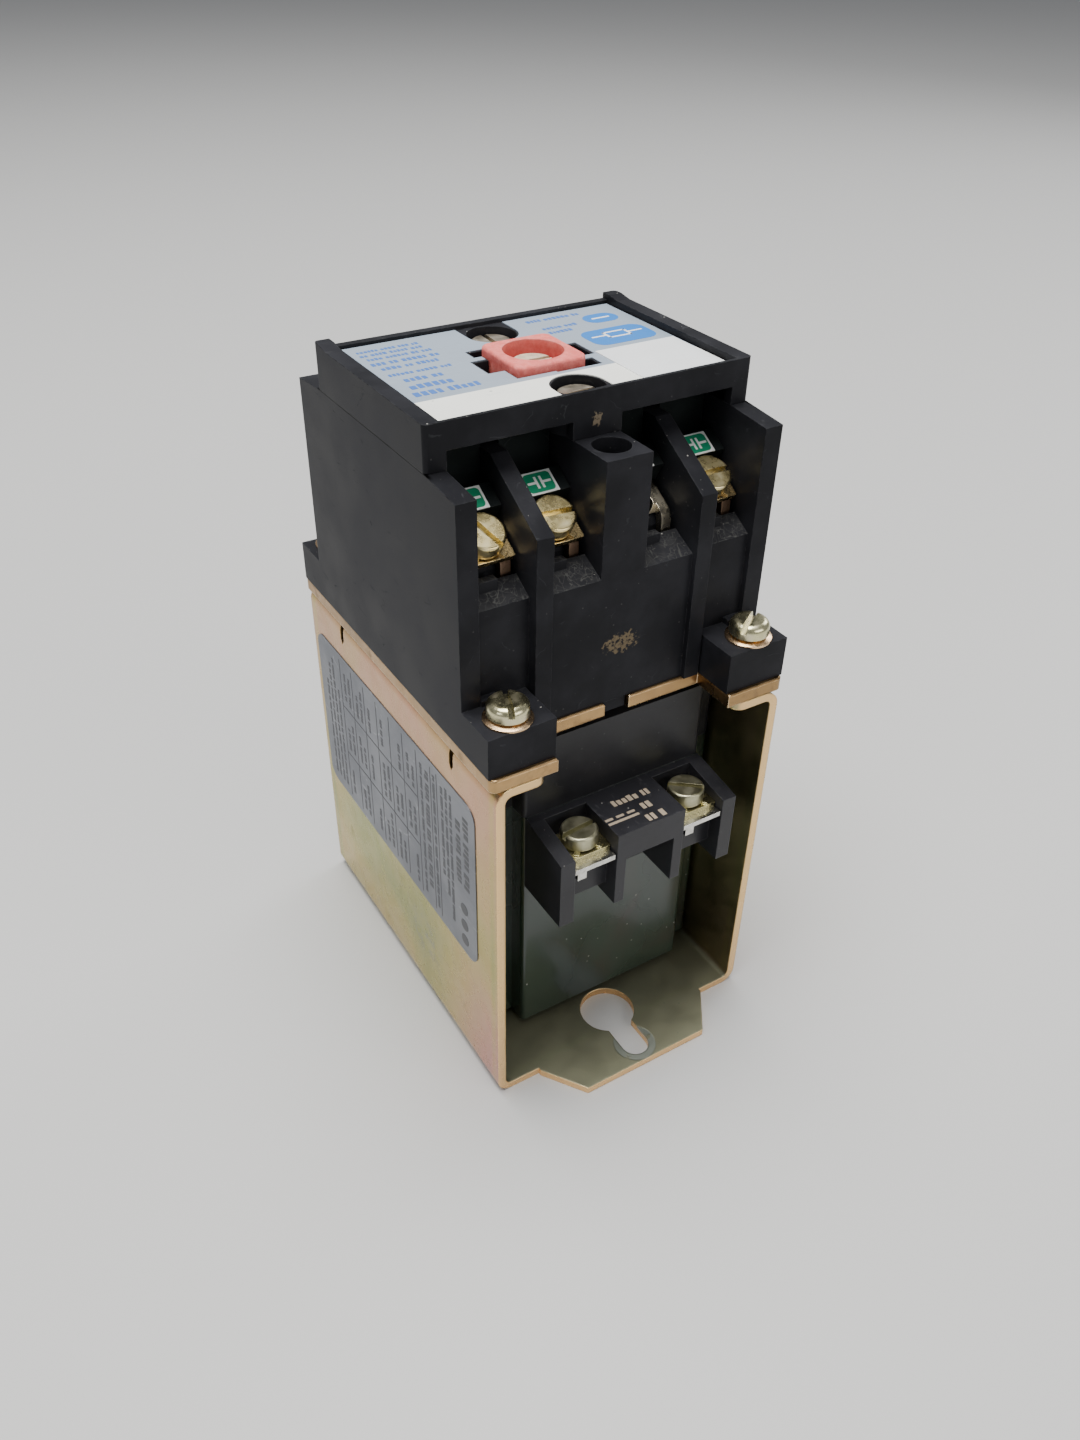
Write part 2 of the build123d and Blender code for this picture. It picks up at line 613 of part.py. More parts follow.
def front_strap(x):
    """A bent strap: foot, sloping terminal pad, drop, and the ledge that carries the tip."""
    middle = STRAP_TOP + STRAP_THICK / 2
    with BuildPart() as strap:
        with BuildSketch(Plane.YZ.offset(x - STRAP_WIDE / 2)):
            with BuildLine():
                FilletPolyline(
                    (STRAP_FOOT_Y, STRAP_FOOT_Z),
                    (STRAP_FOOT_Y, incline(middle, STRAP_FOOT_Y)),
                    (STRAP_DROP_Y, incline(middle, STRAP_DROP_Y)),
                    (STRAP_DROP_Y, CONTACT_Z),
                    (CONTACT_END_Y, CONTACT_Z),
                    radius=1.6,
                )
            trace(line_width=STRAP_THICK)
        extrude(amount=STRAP_WIDE)
        with Locations(terminal_plane(x, STRAP_TOP - 1).location):
            Cylinder(1.85, 4, align=(Align.CENTER, Align.CENTER, Align.MAX), mode=Mode.SUBTRACT)
        # the foot is forked, up to the screw
        fork = (x - STRAP_FORK / 2, x + STRAP_FORK / 2)
        block(fork, (-SHELF_BACK_Y, -20.6), (STRAP_FOOT_Z, FACE_Z), mode=Mode.SUBTRACT)
    return strap.part


for number, x in enumerate(reversed(POLE_X), start=1):
    with BuildPart() as front:
        add(front_strap(x))
    save(front, f"front_strap_{number}")
    with BuildPart() as rear:
        add(front_strap(x))
        mirror(about=Plane.XZ, mode=Mode.REPLACE)
    save(rear, f"rear_strap_{number}")

with BuildPart() as fixed_tips:
    tip_low = CONTACT_Z + STRAP_THICK / 2
    for x in POLE_X:
        for end in (-1, 1):
            tube(TIP_R, tip_low, tip_low + TIP_HIGH, x, end * TIP_Y)
save(fixed_tips, "fixed_tips")

# the second pole from the +X side has lost its front screw and clamp
SCREW_TURNS = {POLE_X[0]: -66, POLE_X[1]: -4, POLE_X[3]: -1}
REAR_TURNS = {POLE_X[0]: 12, POLE_X[1]: -30, POLE_X[2]: 55, POLE_X[3]: 4}

with BuildPart() as rear_clamps:
    for x in REAR_TURNS:
        with Locations(terminal_plane(x, STRAP_TOP).location):
            add(clamp_plate.part)
    mirror(about=Plane.XZ, mode=Mode.REPLACE)

with BuildPart() as terminal_clamps:
    add(rear_clamps.part)
    for x in SCREW_TURNS:
        with Locations(terminal_plane(x, STRAP_TOP).location):
            add(clamp_plate.part)
save(terminal_clamps, "terminal_clamps")

with BuildPart() as rear_screws:
    for x, turn in REAR_TURNS.items():
        with Locations(terminal_plane(x, HEAD_HIGH).location * Location((0, 0, 0), (0, 0, turn))):
            add(terminal_screw)
    mirror(about=Plane.XZ, mode=Mode.REPLACE)

with BuildPart() as terminal_screws:
    add(rear_screws.part)
    for x, turn in SCREW_TURNS.items():
        with Locations(terminal_plane(x, HEAD_HIGH).location * Location((0, 0, 0), (0, 0, turn))):
            add(terminal_screw)
save(terminal_screws, "terminal_screws")

# ---- contact cartridges: an insulating shroud over each pole -------------------------------

label_low_y = FACE_Y + (HEAD_R + 0.05) * COS + 0.02
cartridge_foot_y = label_low_y + (STRAP_TOP - 0.1) * math.sin(math.radians(SLOPE))
CARTRIDGE_TOP = 118.4
CARTRIDGE_ROOF = 116.7
CARTRIDGE_WALL_Y = 12.3
CARTRIDGE_WALL_TOP = 120.2
LABEL_DEPTH = -0.05
TAB_Y = 15.1

# from the roof's middle to the front: wall, sloping label tab, and back along the strap
front_half = [
    (-9.4, CARTRIDGE_TOP),
    (-9.4, CARTRIDGE_WALL_TOP),
    (-CARTRIDGE_WALL_Y, CARTRIDGE_WALL_TOP),
    (-CARTRIDGE_WALL_Y, 112.9),
    (-TAB_Y + 0.4, 112.9),
    (-TAB_Y, incline(LABEL_DEPTH, -TAB_Y)),
    (label_low_y, incline(LABEL_DEPTH, label_low_y)),
    (cartridge_foot_y, incline(STRAP_TOP - 0.1, cartridge_foot_y)),
    (-14.9, incline(STRAP_TOP - 0.1, -14.9)),
    (-12.0, incline(STRAP_TOP - 0.1, -14.9) + 0.4),
    (-10.9, 114.8),
    (-9.4, CARTRIDGE_ROOF),
]
rear_half = [(-y, z) for y, z in reversed(front_half)]

for number, x in enumerate(reversed(POLE_X), start=1):
    with BuildPart() as contact_cartridge:
        side_block(front_half + rear_half, x - CARTRIDGE_HALF, x + CARTRIDGE_HALF)
    save(contact_cartridge, f"contact_cartridge_{number}")

# ---- moving parts ---------------------------------------------------------------------------

bridge_low = CONTACT_Z + STRAP_THICK / 2 + 2 * TIP_HIGH + CONTACT_GAP
bridge_high = bridge_low + BRIDGE_THICK

for number, x in enumerate(reversed(POLE_X), start=1):
    with BuildPart() as moving_bridge:
        block(
            (x - BRIDGE_WIDE / 2, x + BRIDGE_WIDE / 2),
            (-BRIDGE_HALF, BRIDGE_HALF),
            (bridge_low, bridge_high),
        )
        tube(1.1, bridge_low, bridge_high + 0.8, x)
        fillet(moving_bridge.edges().filter_by(Axis.Z), 1.2)
    save(moving_bridge, f"moving_bridge_{number}")

with BuildPart() as moving_tips:
    for x in POLE_X:
        for end in (-1, 1):
            tube(TIP_R, bridge_low - TIP_HIGH, bridge_low, x, end * TIP_Y)
save(moving_tips, "moving_tips")


def coil_spring(radius, wire_r, z_low, z_high, turns, x=0.0, y=0.0):
    """A compression spring between two heights, with its wire's ends inside them."""
    pitch = (z_high - z_low - 2 * wire_r) / turns
    with BuildPart() as spring:
        with BuildLine():
            coil = Helix(pitch, pitch * turns, radius, center=(x, y, z_low + wire_r))
        with BuildSketch(Plane(origin=coil @ 0, z_dir=coil % 0)):
            Circle(wire_r)
        sweep(path=coil)
    return spring.part


CONTACT_SPRING_R = 1.9
CONTACT_SPRING_WIRE = 0.3
RETURN_SPRING_R = 4.4
RETURN_SPRING_WIRE = 0.5

for number, x in enumerate(reversed(POLE_X), start=1):
    with BuildPart() as contact_spring:
        add(
            coil_spring(
                CONTACT_SPRING_R, CONTACT_SPRING_WIRE, bridge_high + 0.02, CROSSBAR_LOW + 1.98, 4, x
            )
        )
    save(contact_spring, f"contact_spring_{number}")

with BuildPart() as return_spring:
    spring_low = CORE_TOP_Z - SPRING_POCKET + 0.02
    spring_high = PLUNGER_LOW + SPRING_POCKET - 0.02
    add(coil_spring(RETURN_SPRING_R, RETURN_SPRING_WIRE, spring_low, spring_high, 8))
save(return_spring, "return_spring")

with BuildPart() as plunger:
    tube(PLUNGER_R, PLUNGER_LOW, PLUNGER_TOP)
    chamfer(plunger.edges().filter_by(GeomType.CIRCLE), 0.5)
    tube(SPRING_POCKET_R, PLUNGER_LOW, PLUNGER_LOW + SPRING_POCKET, mode=Mode.SUBTRACT)
    tube(STEM_R + 0.02, PLUNGER_TOP - 12, PLUNGER_TOP, mode=Mode.SUBTRACT)
save(plunger, "plunger")

with BuildPart() as stem:
    tube(STEM_R, PLUNGER_TOP - 12, STEM_TOP)
    chamfer(stem.edges().filter_by(GeomType.CIRCLE), 0.4)
save(stem, "stem")

SCREW_HEAD_R = 3.4
SCREW_HEAD_TOP = 126.3
SCREW_SHANK_R = 1.6
HEAD_BORE_R = 5.0
HEAD_BORE_Z = 124.6

with BuildPart() as actuator_carrier:
    # square head with its dished bore
    with BuildSketch(Plane.XY.offset(HEAD_FOOT)):
        RectangleRounded(HEAD_SIDE, HEAD_SIDE, 1.7)
    extrude(amount=HEAD_TOP - HEAD_FOOT)
    fillet(actuator_carrier.faces().sort_by(Axis.Z)[-1].edges(), 0.6)
    tube(HEAD_BORE_R, HEAD_BORE_Z, HEAD_TOP, mode=Mode.SUBTRACT)
    # side keys that run in the cover's slots
    for side in (-1, 1):
        block(sorted((side * 5.5, side * 7.6)), (-2.0, 2.0), (HEAD_FOOT, LABEL_Z - 2.6 - STROKE + 2))
    # neck, crossbar and stem socket
    block((-CARRIER_NECK, CARRIER_NECK), (-4.6, 4.6), (CROSSBAR_LOW - 8, HEAD_FOOT))
    block((-24.6, 24.6), (-3.6, 3.6), (CROSSBAR_LOW, CROSSBAR_HIGH))
    for x in POLE_X:
        # stirrup that holds the bridge, and the pocket over its spring
        for side in (-1, 1):
            leg = sorted((x + side * (BRIDGE_WIDE / 2 + 0.1), x + side * (BRIDGE_WIDE / 2 + 1.1)))
            block(leg, (-3.0, 3.0), (bridge_low - 1.5, CROSSBAR_LOW))
        block(
            (x - BRIDGE_WIDE / 2 - 1.1, x + BRIDGE_WIDE / 2 + 1.1),
            (-3.0, 3.0),
            (bridge_low - 1.5, bridge_low - 0.02),
        )
        tube(2.5, CROSSBAR_LOW, CROSSBAR_LOW + 2.0, x, mode=Mode.SUBTRACT)
    tube(STEM_R + 0.02, CROSSBAR_LOW - 8, STEM_TOP, mode=Mode.SUBTRACT)
    tube(SCREW_SHANK_R + 0.03, STEM_TOP, HEAD_BORE_Z, mode=Mode.SUBTRACT)
save(actuator_carrier, "actuator_carrier")

with BuildPart() as actuator_screw:
    tube(SCREW_HEAD_R, HEAD_BORE_Z, SCREW_HEAD_TOP)
    tube(SCREW_SHANK_R, STEM_TOP + 0.1, HEAD_BORE_Z)
    fillet(actuator_screw.edges().filter_by(GeomType.CIRCLE).sort_by(Axis.Z)[-1], 0.3)
    block(
        (-SCREW_HEAD_R, SCREW_HEAD_R),
        (-0.45, 0.45),
        (SCREW_HEAD_TOP - 0.9, SCREW_HEAD_TOP),
        mode=Mode.SUBTRACT,
    )
save(actuator_screw, "actuator_screw")

# ---- labels ---------------------------------------------------------------------------------

LABEL_THICK = 0.15
LABEL_HIGH = 4.1

with BuildPart() as top_label:
    block(
        (-HALF + LIP_SIDE + 0.2, HALF - LIP_SIDE - 0.3),
        (COVER_FRONT_Y + LIP_FRONT + 0.2, COVER_BACK_Y - RIDGE - 0.2),
        (LABEL_Z, LABEL_Z + LABEL_THICK),
    )
    # notches round the cover screws, and windows round the opening and its slots
    notch = COVER_BORE_R + 0.3
    for end in (-1, 1):
        tube(notch, LABEL_Z, LABEL_Z + 1, y=end * COVER_SCREW_Y, mode=Mode.SUBTRACT)
    window = opening + 0.3
    for x_span, y_span in (
        ((-notch, notch), (COVER_FRONT_Y, -COVER_SCREW_Y)),
        ((-notch, notch), (COVER_SCREW_Y, COVER_BACK_Y)),
        ((-window, window), (-window, window)),
        ((-9.9, 9.9), (-3.0, 3.0)),
        ((-8.4, 0), (4.4, opening + 0.8)),
        ((0, 8.4), (-opening - 0.8, -4.4)),
    ):
        block(x_span, y_span, (LABEL_Z, LABEL_Z + 1), mode=Mode.SUBTRACT)
save(top_label, "top_label")

with BuildPart() as tag_sticker:
    block((10.2, 25.9), (-17.6, -2.6), (LABEL_Z + LABEL_THICK, LABEL_Z + 2 * LABEL_THICK))
save(tag_sticker, "tag_sticker")

with BuildPart() as rating_label:
    with BuildSketch(Plane.YZ.offset(-FRAME_WIDTH / 2 - LABEL_THICK)):
        with Locations((2.7, 46.8)):
            RectangleRounded(66.0, 37.0, 3.0)
    extrude(amount=LABEL_THICK)
save(rating_label, "rating_label")

with BuildPart() as front_pole_labels:
    for x in POLE_X:
        with BuildSketch(terminal_plane(x, LABEL_DEPTH)):
            with Locations((0, HEAD_R + 0.1 + LABEL_HIGH / 2)):
                Rectangle(5.2, LABEL_HIGH)
        extrude(amount=LABEL_THICK)

with BuildPart() as pole_labels:
    add(front_pole_labels.part)
    mirror(about=Plane.XZ)
save(pole_labels, "pole_labels")
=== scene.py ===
import math
import random

import bpy
from mathutils import Matrix, Vector


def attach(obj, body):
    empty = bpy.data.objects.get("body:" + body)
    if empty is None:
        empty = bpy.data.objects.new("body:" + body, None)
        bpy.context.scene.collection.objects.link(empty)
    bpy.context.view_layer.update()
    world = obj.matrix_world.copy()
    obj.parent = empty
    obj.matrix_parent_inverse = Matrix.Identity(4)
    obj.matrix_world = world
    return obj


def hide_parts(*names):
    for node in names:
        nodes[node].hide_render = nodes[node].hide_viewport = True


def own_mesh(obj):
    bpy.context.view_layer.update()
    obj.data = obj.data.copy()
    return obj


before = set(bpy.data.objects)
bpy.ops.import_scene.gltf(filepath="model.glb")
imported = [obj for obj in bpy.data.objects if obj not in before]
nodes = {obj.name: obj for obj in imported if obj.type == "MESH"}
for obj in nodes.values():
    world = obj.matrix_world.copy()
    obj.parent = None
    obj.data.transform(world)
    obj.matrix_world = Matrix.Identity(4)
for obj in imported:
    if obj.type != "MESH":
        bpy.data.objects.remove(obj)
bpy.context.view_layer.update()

MM = 0.001
ROOT = "relay_body"
SLOPE = math.radians(30.5)
POLES = (-21.25, -8.9, 8.9, 21.25)
FACE_Y = -21.9
FACE_Z = 111.0
EAR_X = 23.7
EAR_Y = 32.9
COVER_SCREW_Y = 13.6


# ---- node materials -------------------------------------------------------------------------


class Look:
    """A procedural material. Its pattern is laid out in millimetres of the row frame."""

    def __init__(self, name):
        self.material = bpy.data.materials.new(name)
        self.material.use_nodes = True
        self.tree = self.material.node_tree
        self.tree.nodes.clear()
        metres = self.node("ShaderNodeTexCoord").outputs["Object"]
        self.place = self.vector("SCALE", metres, scale=1000.0)
        axes = self.node("ShaderNodeSeparateXYZ", {0: self.place})
        self.x, self.y, self.z = axes.outputs
        self.geometry = self.node("ShaderNodeNewGeometry")
        facing = self.node("ShaderNodeSeparateXYZ", {0: self.geometry.outputs["Normal"]})
        self.facing_x, self.facing_y, self.facing_z = facing.outputs
        self.edge = None

    def node(self, kind, inputs=(), **settings):
        made = self.tree.nodes.new(kind)
        for key, value in settings.items():
            setattr(made, key, value)
        for key, value in dict(inputs).items():
            if isinstance(value, bpy.types.NodeSocket):
                self.tree.links.new(value, made.inputs[key])
            else:
                made.inputs[key].default_value = value
        return made

    def math(self, operation, *values, clamp=False):
        inputs = dict(enumerate(values))
        return self.node("ShaderNodeMath", inputs, operation=operation, use_clamp=clamp).outputs[0]

    def vector(self, operation, a, b=None, scale=None):
        inputs = {0: a}
        if b is not None:
            inputs[1] = b
        if scale is not None:
            inputs["Scale"] = scale
        made = self.node("ShaderNodeVectorMath", inputs, operation=operation)
        return made.outputs["Value" if operation in ("DOT_PRODUCT", "LENGTH") else "Vector"]

    def noise(self, scale, detail=3.0, roughness=0.55, stretch=None, distortion=0.0, at=None):
        spot = at or self.place
        if stretch:
            spot = self.vector("MULTIPLY", spot, stretch)
        inputs = {
            "Vector": spot,
            "Scale": scale,
            "Detail": detail,
            "Roughness": roughness,
            "Distortion": distortion,
        }
        return self.node("ShaderNodeTexNoise", inputs).outputs["Fac"]

    def ramp(self, value, *stops):
        """A colour ramp from (position, colour) stops."""
        made = self.node("ShaderNodeValToRGB", {0: value})
        band = made.color_ramp
        for index, (position, color) in enumerate(stops):
            element = band.elements[index] if index < 2 else band.elements.new(position)
            element.position = position
            element.color = (*color, 1.0)
        return made.outputs["Color"]

    def span(self, value, low, high, out_low=0.0, out_high=1.0):
        """Maps low..high to out_low..out_high, clamped and smoothed."""
        inputs = {0: value, 1: low, 2: high, 3: out_low, 4: out_high}
        made = self.node("ShaderNodeMapRange", inputs, interpolation_type="SMOOTHSTEP")
        return made.outputs[0]

    def mix(self, amount, a, b):
        made = self.node("ShaderNodeMix", data_type="RGBA")
        for name, value in ((0, amount), (6, a), (7, b)):
            if isinstance(value, bpy.types.NodeSocket):
                self.tree.links.new(value, made.inputs[name])
            elif name == 0:
                made.inputs[name].default_value = value
            else:
                made.inputs[name].default_value = (*value, 1.0)
        return made.outputs[2]

    def scale(self, value, factor):
        return self.math("MULTIPLY", value, factor)

    def both(self, *masks):
        result = masks[0]
        for mask in masks[1:]:
            result = self.math("MULTIPLY", result, mask)
        return result

    def either(self, *masks):
        result = masks[0]
        for mask in masks[1:]:
            result = self.math("MAXIMUM", result, mask)
        return result

    def length(self, a, b):
        """The length of the vector (a, b)."""
        squares = self.math("ADD", self.math("POWER", a, 2.0), self.math("POWER", b, 2.0))
        return self.math("SQRT", squares)

    def inside(self, value, low, high, soft=0.15):
        """1 where value lies between low and high."""
        return self.both(
            self.span(value, low - soft, low + soft), self.span(value, high + soft, high - soft)
        )

    def edges(self, radius):
        """Rounds the shading of sharp edges, and returns a mask of where they are."""
        bevel = self.node("ShaderNodeBevel", {"Radius": radius * MM}, samples=6)
        self.edge = bevel.outputs[0]
        match = self.vector("DOT_PRODUCT", self.edge, self.geometry.outputs["Normal"])
        return self.span(match, 0.995, 0.80)

    def specks(self, cell, share, seed=0.0):
        """Small round specks: one in some of the cells of this size, in millimetres."""
        shifted = self.vector("ADD", self.place, (seed, seed * 1.7, seed * 0.6))
        made = self.node(
            "ShaderNodeTexVoronoi", {"Vector": shifted, "Scale": 1.0 / cell}, feature="F1"
        )
        pick = self.node("ShaderNodeSeparateColor", {0: made.outputs["Color"]}).outputs[0]
        small = self.math("LESS_THAN", made.outputs["Distance"], 0.10)
        return self.both(small, self.math("LESS_THAN", pick, share))

    def scratches(self, cell, width, stretch, share=0.5):
        """Fine lines along cell borders of a stretched pattern, broken up by noise."""
        spot = self.vector("MULTIPLY", self.place, stretch)
        bent = self.node("ShaderNodeTexNoise", {"Vector": spot, "Scale": 0.35, "Detail": 2.0})
        spot = self.vector("ADD", spot, self.vector("SCALE", bent.outputs["Color"], scale=2.5))
        made = self.node(
            "ShaderNodeTexVoronoi",
            {"Vector": spot, "Scale": 1.0 / cell},
            feature="DISTANCE_TO_EDGE",
        )
        line = self.span(made.outputs["Distance"], width, width * 0.3)
        return self.both(line, self.span(self.noise(0.4, 2.0), 1 - share, 1 - share + 0.1))

    def bumped(self, *layers):
        """Stacks (height, depth in millimetres) layers of bump on the rounded edges."""
        normal = self.edge
        for height, depth in layers:
            inputs = {"Height": height, "Strength": 1.0, "Distance": depth * MM}
            if normal is not None:
                inputs["Normal"] = normal
            normal = self.node("ShaderNodeBump", inputs).outputs[0]
        return normal

    def finish(self, color, roughness, normal=None, metallic=0.0, **fixed):
        """Ends the material with one shader. Fixed values go straight onto its sockets."""
        shader = self.node("ShaderNodeBsdfPrincipled")
        for name, value in (
            ("Base Color", color),
            ("Roughness", roughness),
            ("Metallic", metallic),
            ("Normal", normal),
        ):
            if isinstance(value, bpy.types.NodeSocket):
                self.tree.links.new(value, shader.inputs[name])
            elif value is not None:
                flat = (*value, 1.0) if name == "Base Color" else value
                shader.inputs[name].default_value = flat
        for name, value in fixed.items():
            shader.inputs[name.replace("_", " ")].default_value = value
        output = self.node("ShaderNodeOutputMaterial")
        self.tree.links.new(shader.outputs[0], output.inputs[0])
        return self.material


def moulding(name, base, worn, roughness, dust, marks=(), gloss=0.06):
    """Black thermoset: satin, finely grained, dusty, with paler worn edges."""
    look = Look(name)
    rim = look.edges(0.2)
    cloud = look.noise(0.09, 4.0)
    color = look.mix(look.span(cloud, 0.35, 0.68), base, tuple(c * 1.7 for c in base))
    rub = look.both(rim, look.span(look.noise(0.8, 4.0), 0.36, 0.62))
    color = look.mix(look.scale(rub, 0.65), color, worn)
    fine = look.scratches(11.0, 0.010, (1.0, 0.35, 1.4), 0.45)
    color = look.mix(look.scale(fine, 0.22), color, worn)
    upward = look.span(look.facing_z, 0.2, 0.8, 0.12, 1.0)
    haze = look.both(upward, look.span(look.noise(0.35, 5.0, 0.7), 0.54, 0.78, 0.0, dust * 0.12))
    color = look.mix(haze, color, (0.16, 0.16, 0.155))
    coarse = look.specks(1.5, dust * 0.34)
    small = look.specks(0.7, dust * 0.16, 3.3)
    grit = look.both(look.either(coarse, small), upward)
    color = look.mix(look.scale(grit, 0.80), color, (0.34, 0.33, 0.31))
    for mask, tint in marks:
        color = look.mix(mask(look), color, tint)
    satin = look.span(cloud, 0.3, 0.7, roughness - 0.06, roughness + 0.08)
    rough = look.math("ADD", satin, look.scale(look.either(fine, grit), 0.25))
    grain = look.noise(6.0, 3.0, 0.6)
    normal = look.bumped((grain, 0.008), (look.scale(fine, -1.0), 0.012), (grit, 0.04))
    return look.finish(color, rough, normal, Specular_IOR_Level=gloss)


def oval_mark(x, y_low, y_high, z, half_x, half_z):
    """A rough oval mark left by the mould on a front face."""

    def mask(look):
        dx = look.math("DIVIDE", look.math("SUBTRACT", look.x, x), half_x)
        dz = look.math("DIVIDE", look.math("SUBTRACT", look.z, z), half_z)
        far = look.length(dx, dz)
        ragged = look.math("ADD", far, look.span(look.noise(1.1, 4.0), 0.3, 0.7, -0.35, 0.35))
        ring = look.both(look.span(ragged, 1.1, 0.9), look.span(look.noise(1.9, 4.0), 0.42, 0.54))
        return look.both(ring, look.inside(look.y, y_low, y_high))

    return mask


def shelf_scuffs(look):
    """Scuffed, scratched shelf tops in front of the terminals."""
    end = look.math("ABSOLUTE", look.y)
    zone = look.both(look.inside(end, 23.0, 28.4), look.inside(look.z, 100.0, 104.6))
    zone = look.both(zone, look.span(look.facing_z, 0.5, 0.8))
    lines = []
    for seed, stretch in ((0.0, (1.0, 0.30, 0.3)), (9.0, (0.45, 1.0, 0.3)), (21.0, (0.8, 0.7, 0.3))):
        spot = look.vector("ADD", look.place, (seed, seed, seed))
        curl = look.noise(0.7, 1.0, 0.4, stretch, 0.8, spot)
        off = look.math("ABSOLUTE", look.math("SUBTRACT", curl, 0.5))
        lines.append(look.span(off, 0.014, 0.004))
    rub = look.span(look.noise(0.5, 4.0), 0.42, 0.75, 0.05, 0.35)
    return look.both(zone, look.either(rub, *lines))


def parting_shadow(look):
    """Painted shadow: a dark line along the crease where the cover sits on the housing's side walls."""
    side = look.span(look.math("ABSOLUTE", look.x), 28.6, 29.0)
    return look.both(side, look.inside(look.z, 120.28, 120.52, 0.05))


def plate_material():
    """The pole plate's duller, copper-tinged finish, with a painted highlight on its rolled-over edges."""
    look = Look("zinc_plate")
    rim = look.edges(0.35)
    drift = look.noise(0.05, 3.0, 0.5, distortion=0.6)
    color = look.ramp(
        drift,
        (0.30, (0.32, 0.20, 0.085)),
        (0.45, (0.38, 0.235, 0.105)),
        (0.60, (0.46, 0.29, 0.13)),
        (0.75, (0.35, 0.24, 0.12)),
    )
    lines = look.noise(1.2, 3.0, 0.6, stretch=(1.0, 1.0, 0.2))
    color = look.mix(look.span(lines, 0.35, 0.7, 0.0, 0.3), color, (0.34, 0.22, 0.11))
    stain = look.span(look.noise(0.2, 6.0, 0.65), 0.56, 0.70)
    color = look.mix(look.scale(stain, 0.55), color, (0.20, 0.13, 0.07))
    dots = look.specks(1.8, 0.35, 1.1)
    color = look.mix(look.scale(dots, 0.4), color, (0.14, 0.10, 0.06))
    # painted highlight along the plate's edges
    color = look.mix(look.scale(rim, 0.75), color, (0.92, 0.72, 0.46))
    satin = look.span(look.noise(0.3, 5.0), 0.3, 0.7, 0.24, 0.38)
    rough = look.math("ADD", satin, look.scale(stain, 0.12))
    normal = look.bumped((lines, 0.006), (look.noise(1.3, 3.0), 0.012), (look.noise(0.12, 2.0), 0.03))
    return look.finish(color, rough, normal, metallic=1.0)


def frame_hues(look):
    """Where on its colour scale the frame's chromate lies: 0 olive, 0.5 gold, 1 pink to violet."""
    drift = look.span(look.noise(0.030, 3.0, 0.5, distortion=0.8), 0.25, 0.75, -0.14, 0.14)
    height = look.span(look.z, 20.0, 74.0, 0.30, 0.58)
    middle = look.both(look.inside(look.y, -16.0, 26.0, 12.0), look.inside(look.z, 4.0, 40.0, 12.0))
    near_foot = look.both(look.span(look.y, -8.0, -34.0), look.span(look.z, 40.0, 6.0))
    level = look.math("ADD", look.math("ADD", height, drift), look.scale(near_foot, 0.50))
    level = look.math("SUBTRACT", level, look.scale(middle, 0.20))
    # a narrow olive and violet fringe runs beside each bend and end of the sheet
    fringe = look.inside(look.math("ABSOLUTE", look.y), 35.2, 36.6, 0.8)
    return look.math("SUBTRACT", level, look.scale(fringe, 0.22), clamp=True)


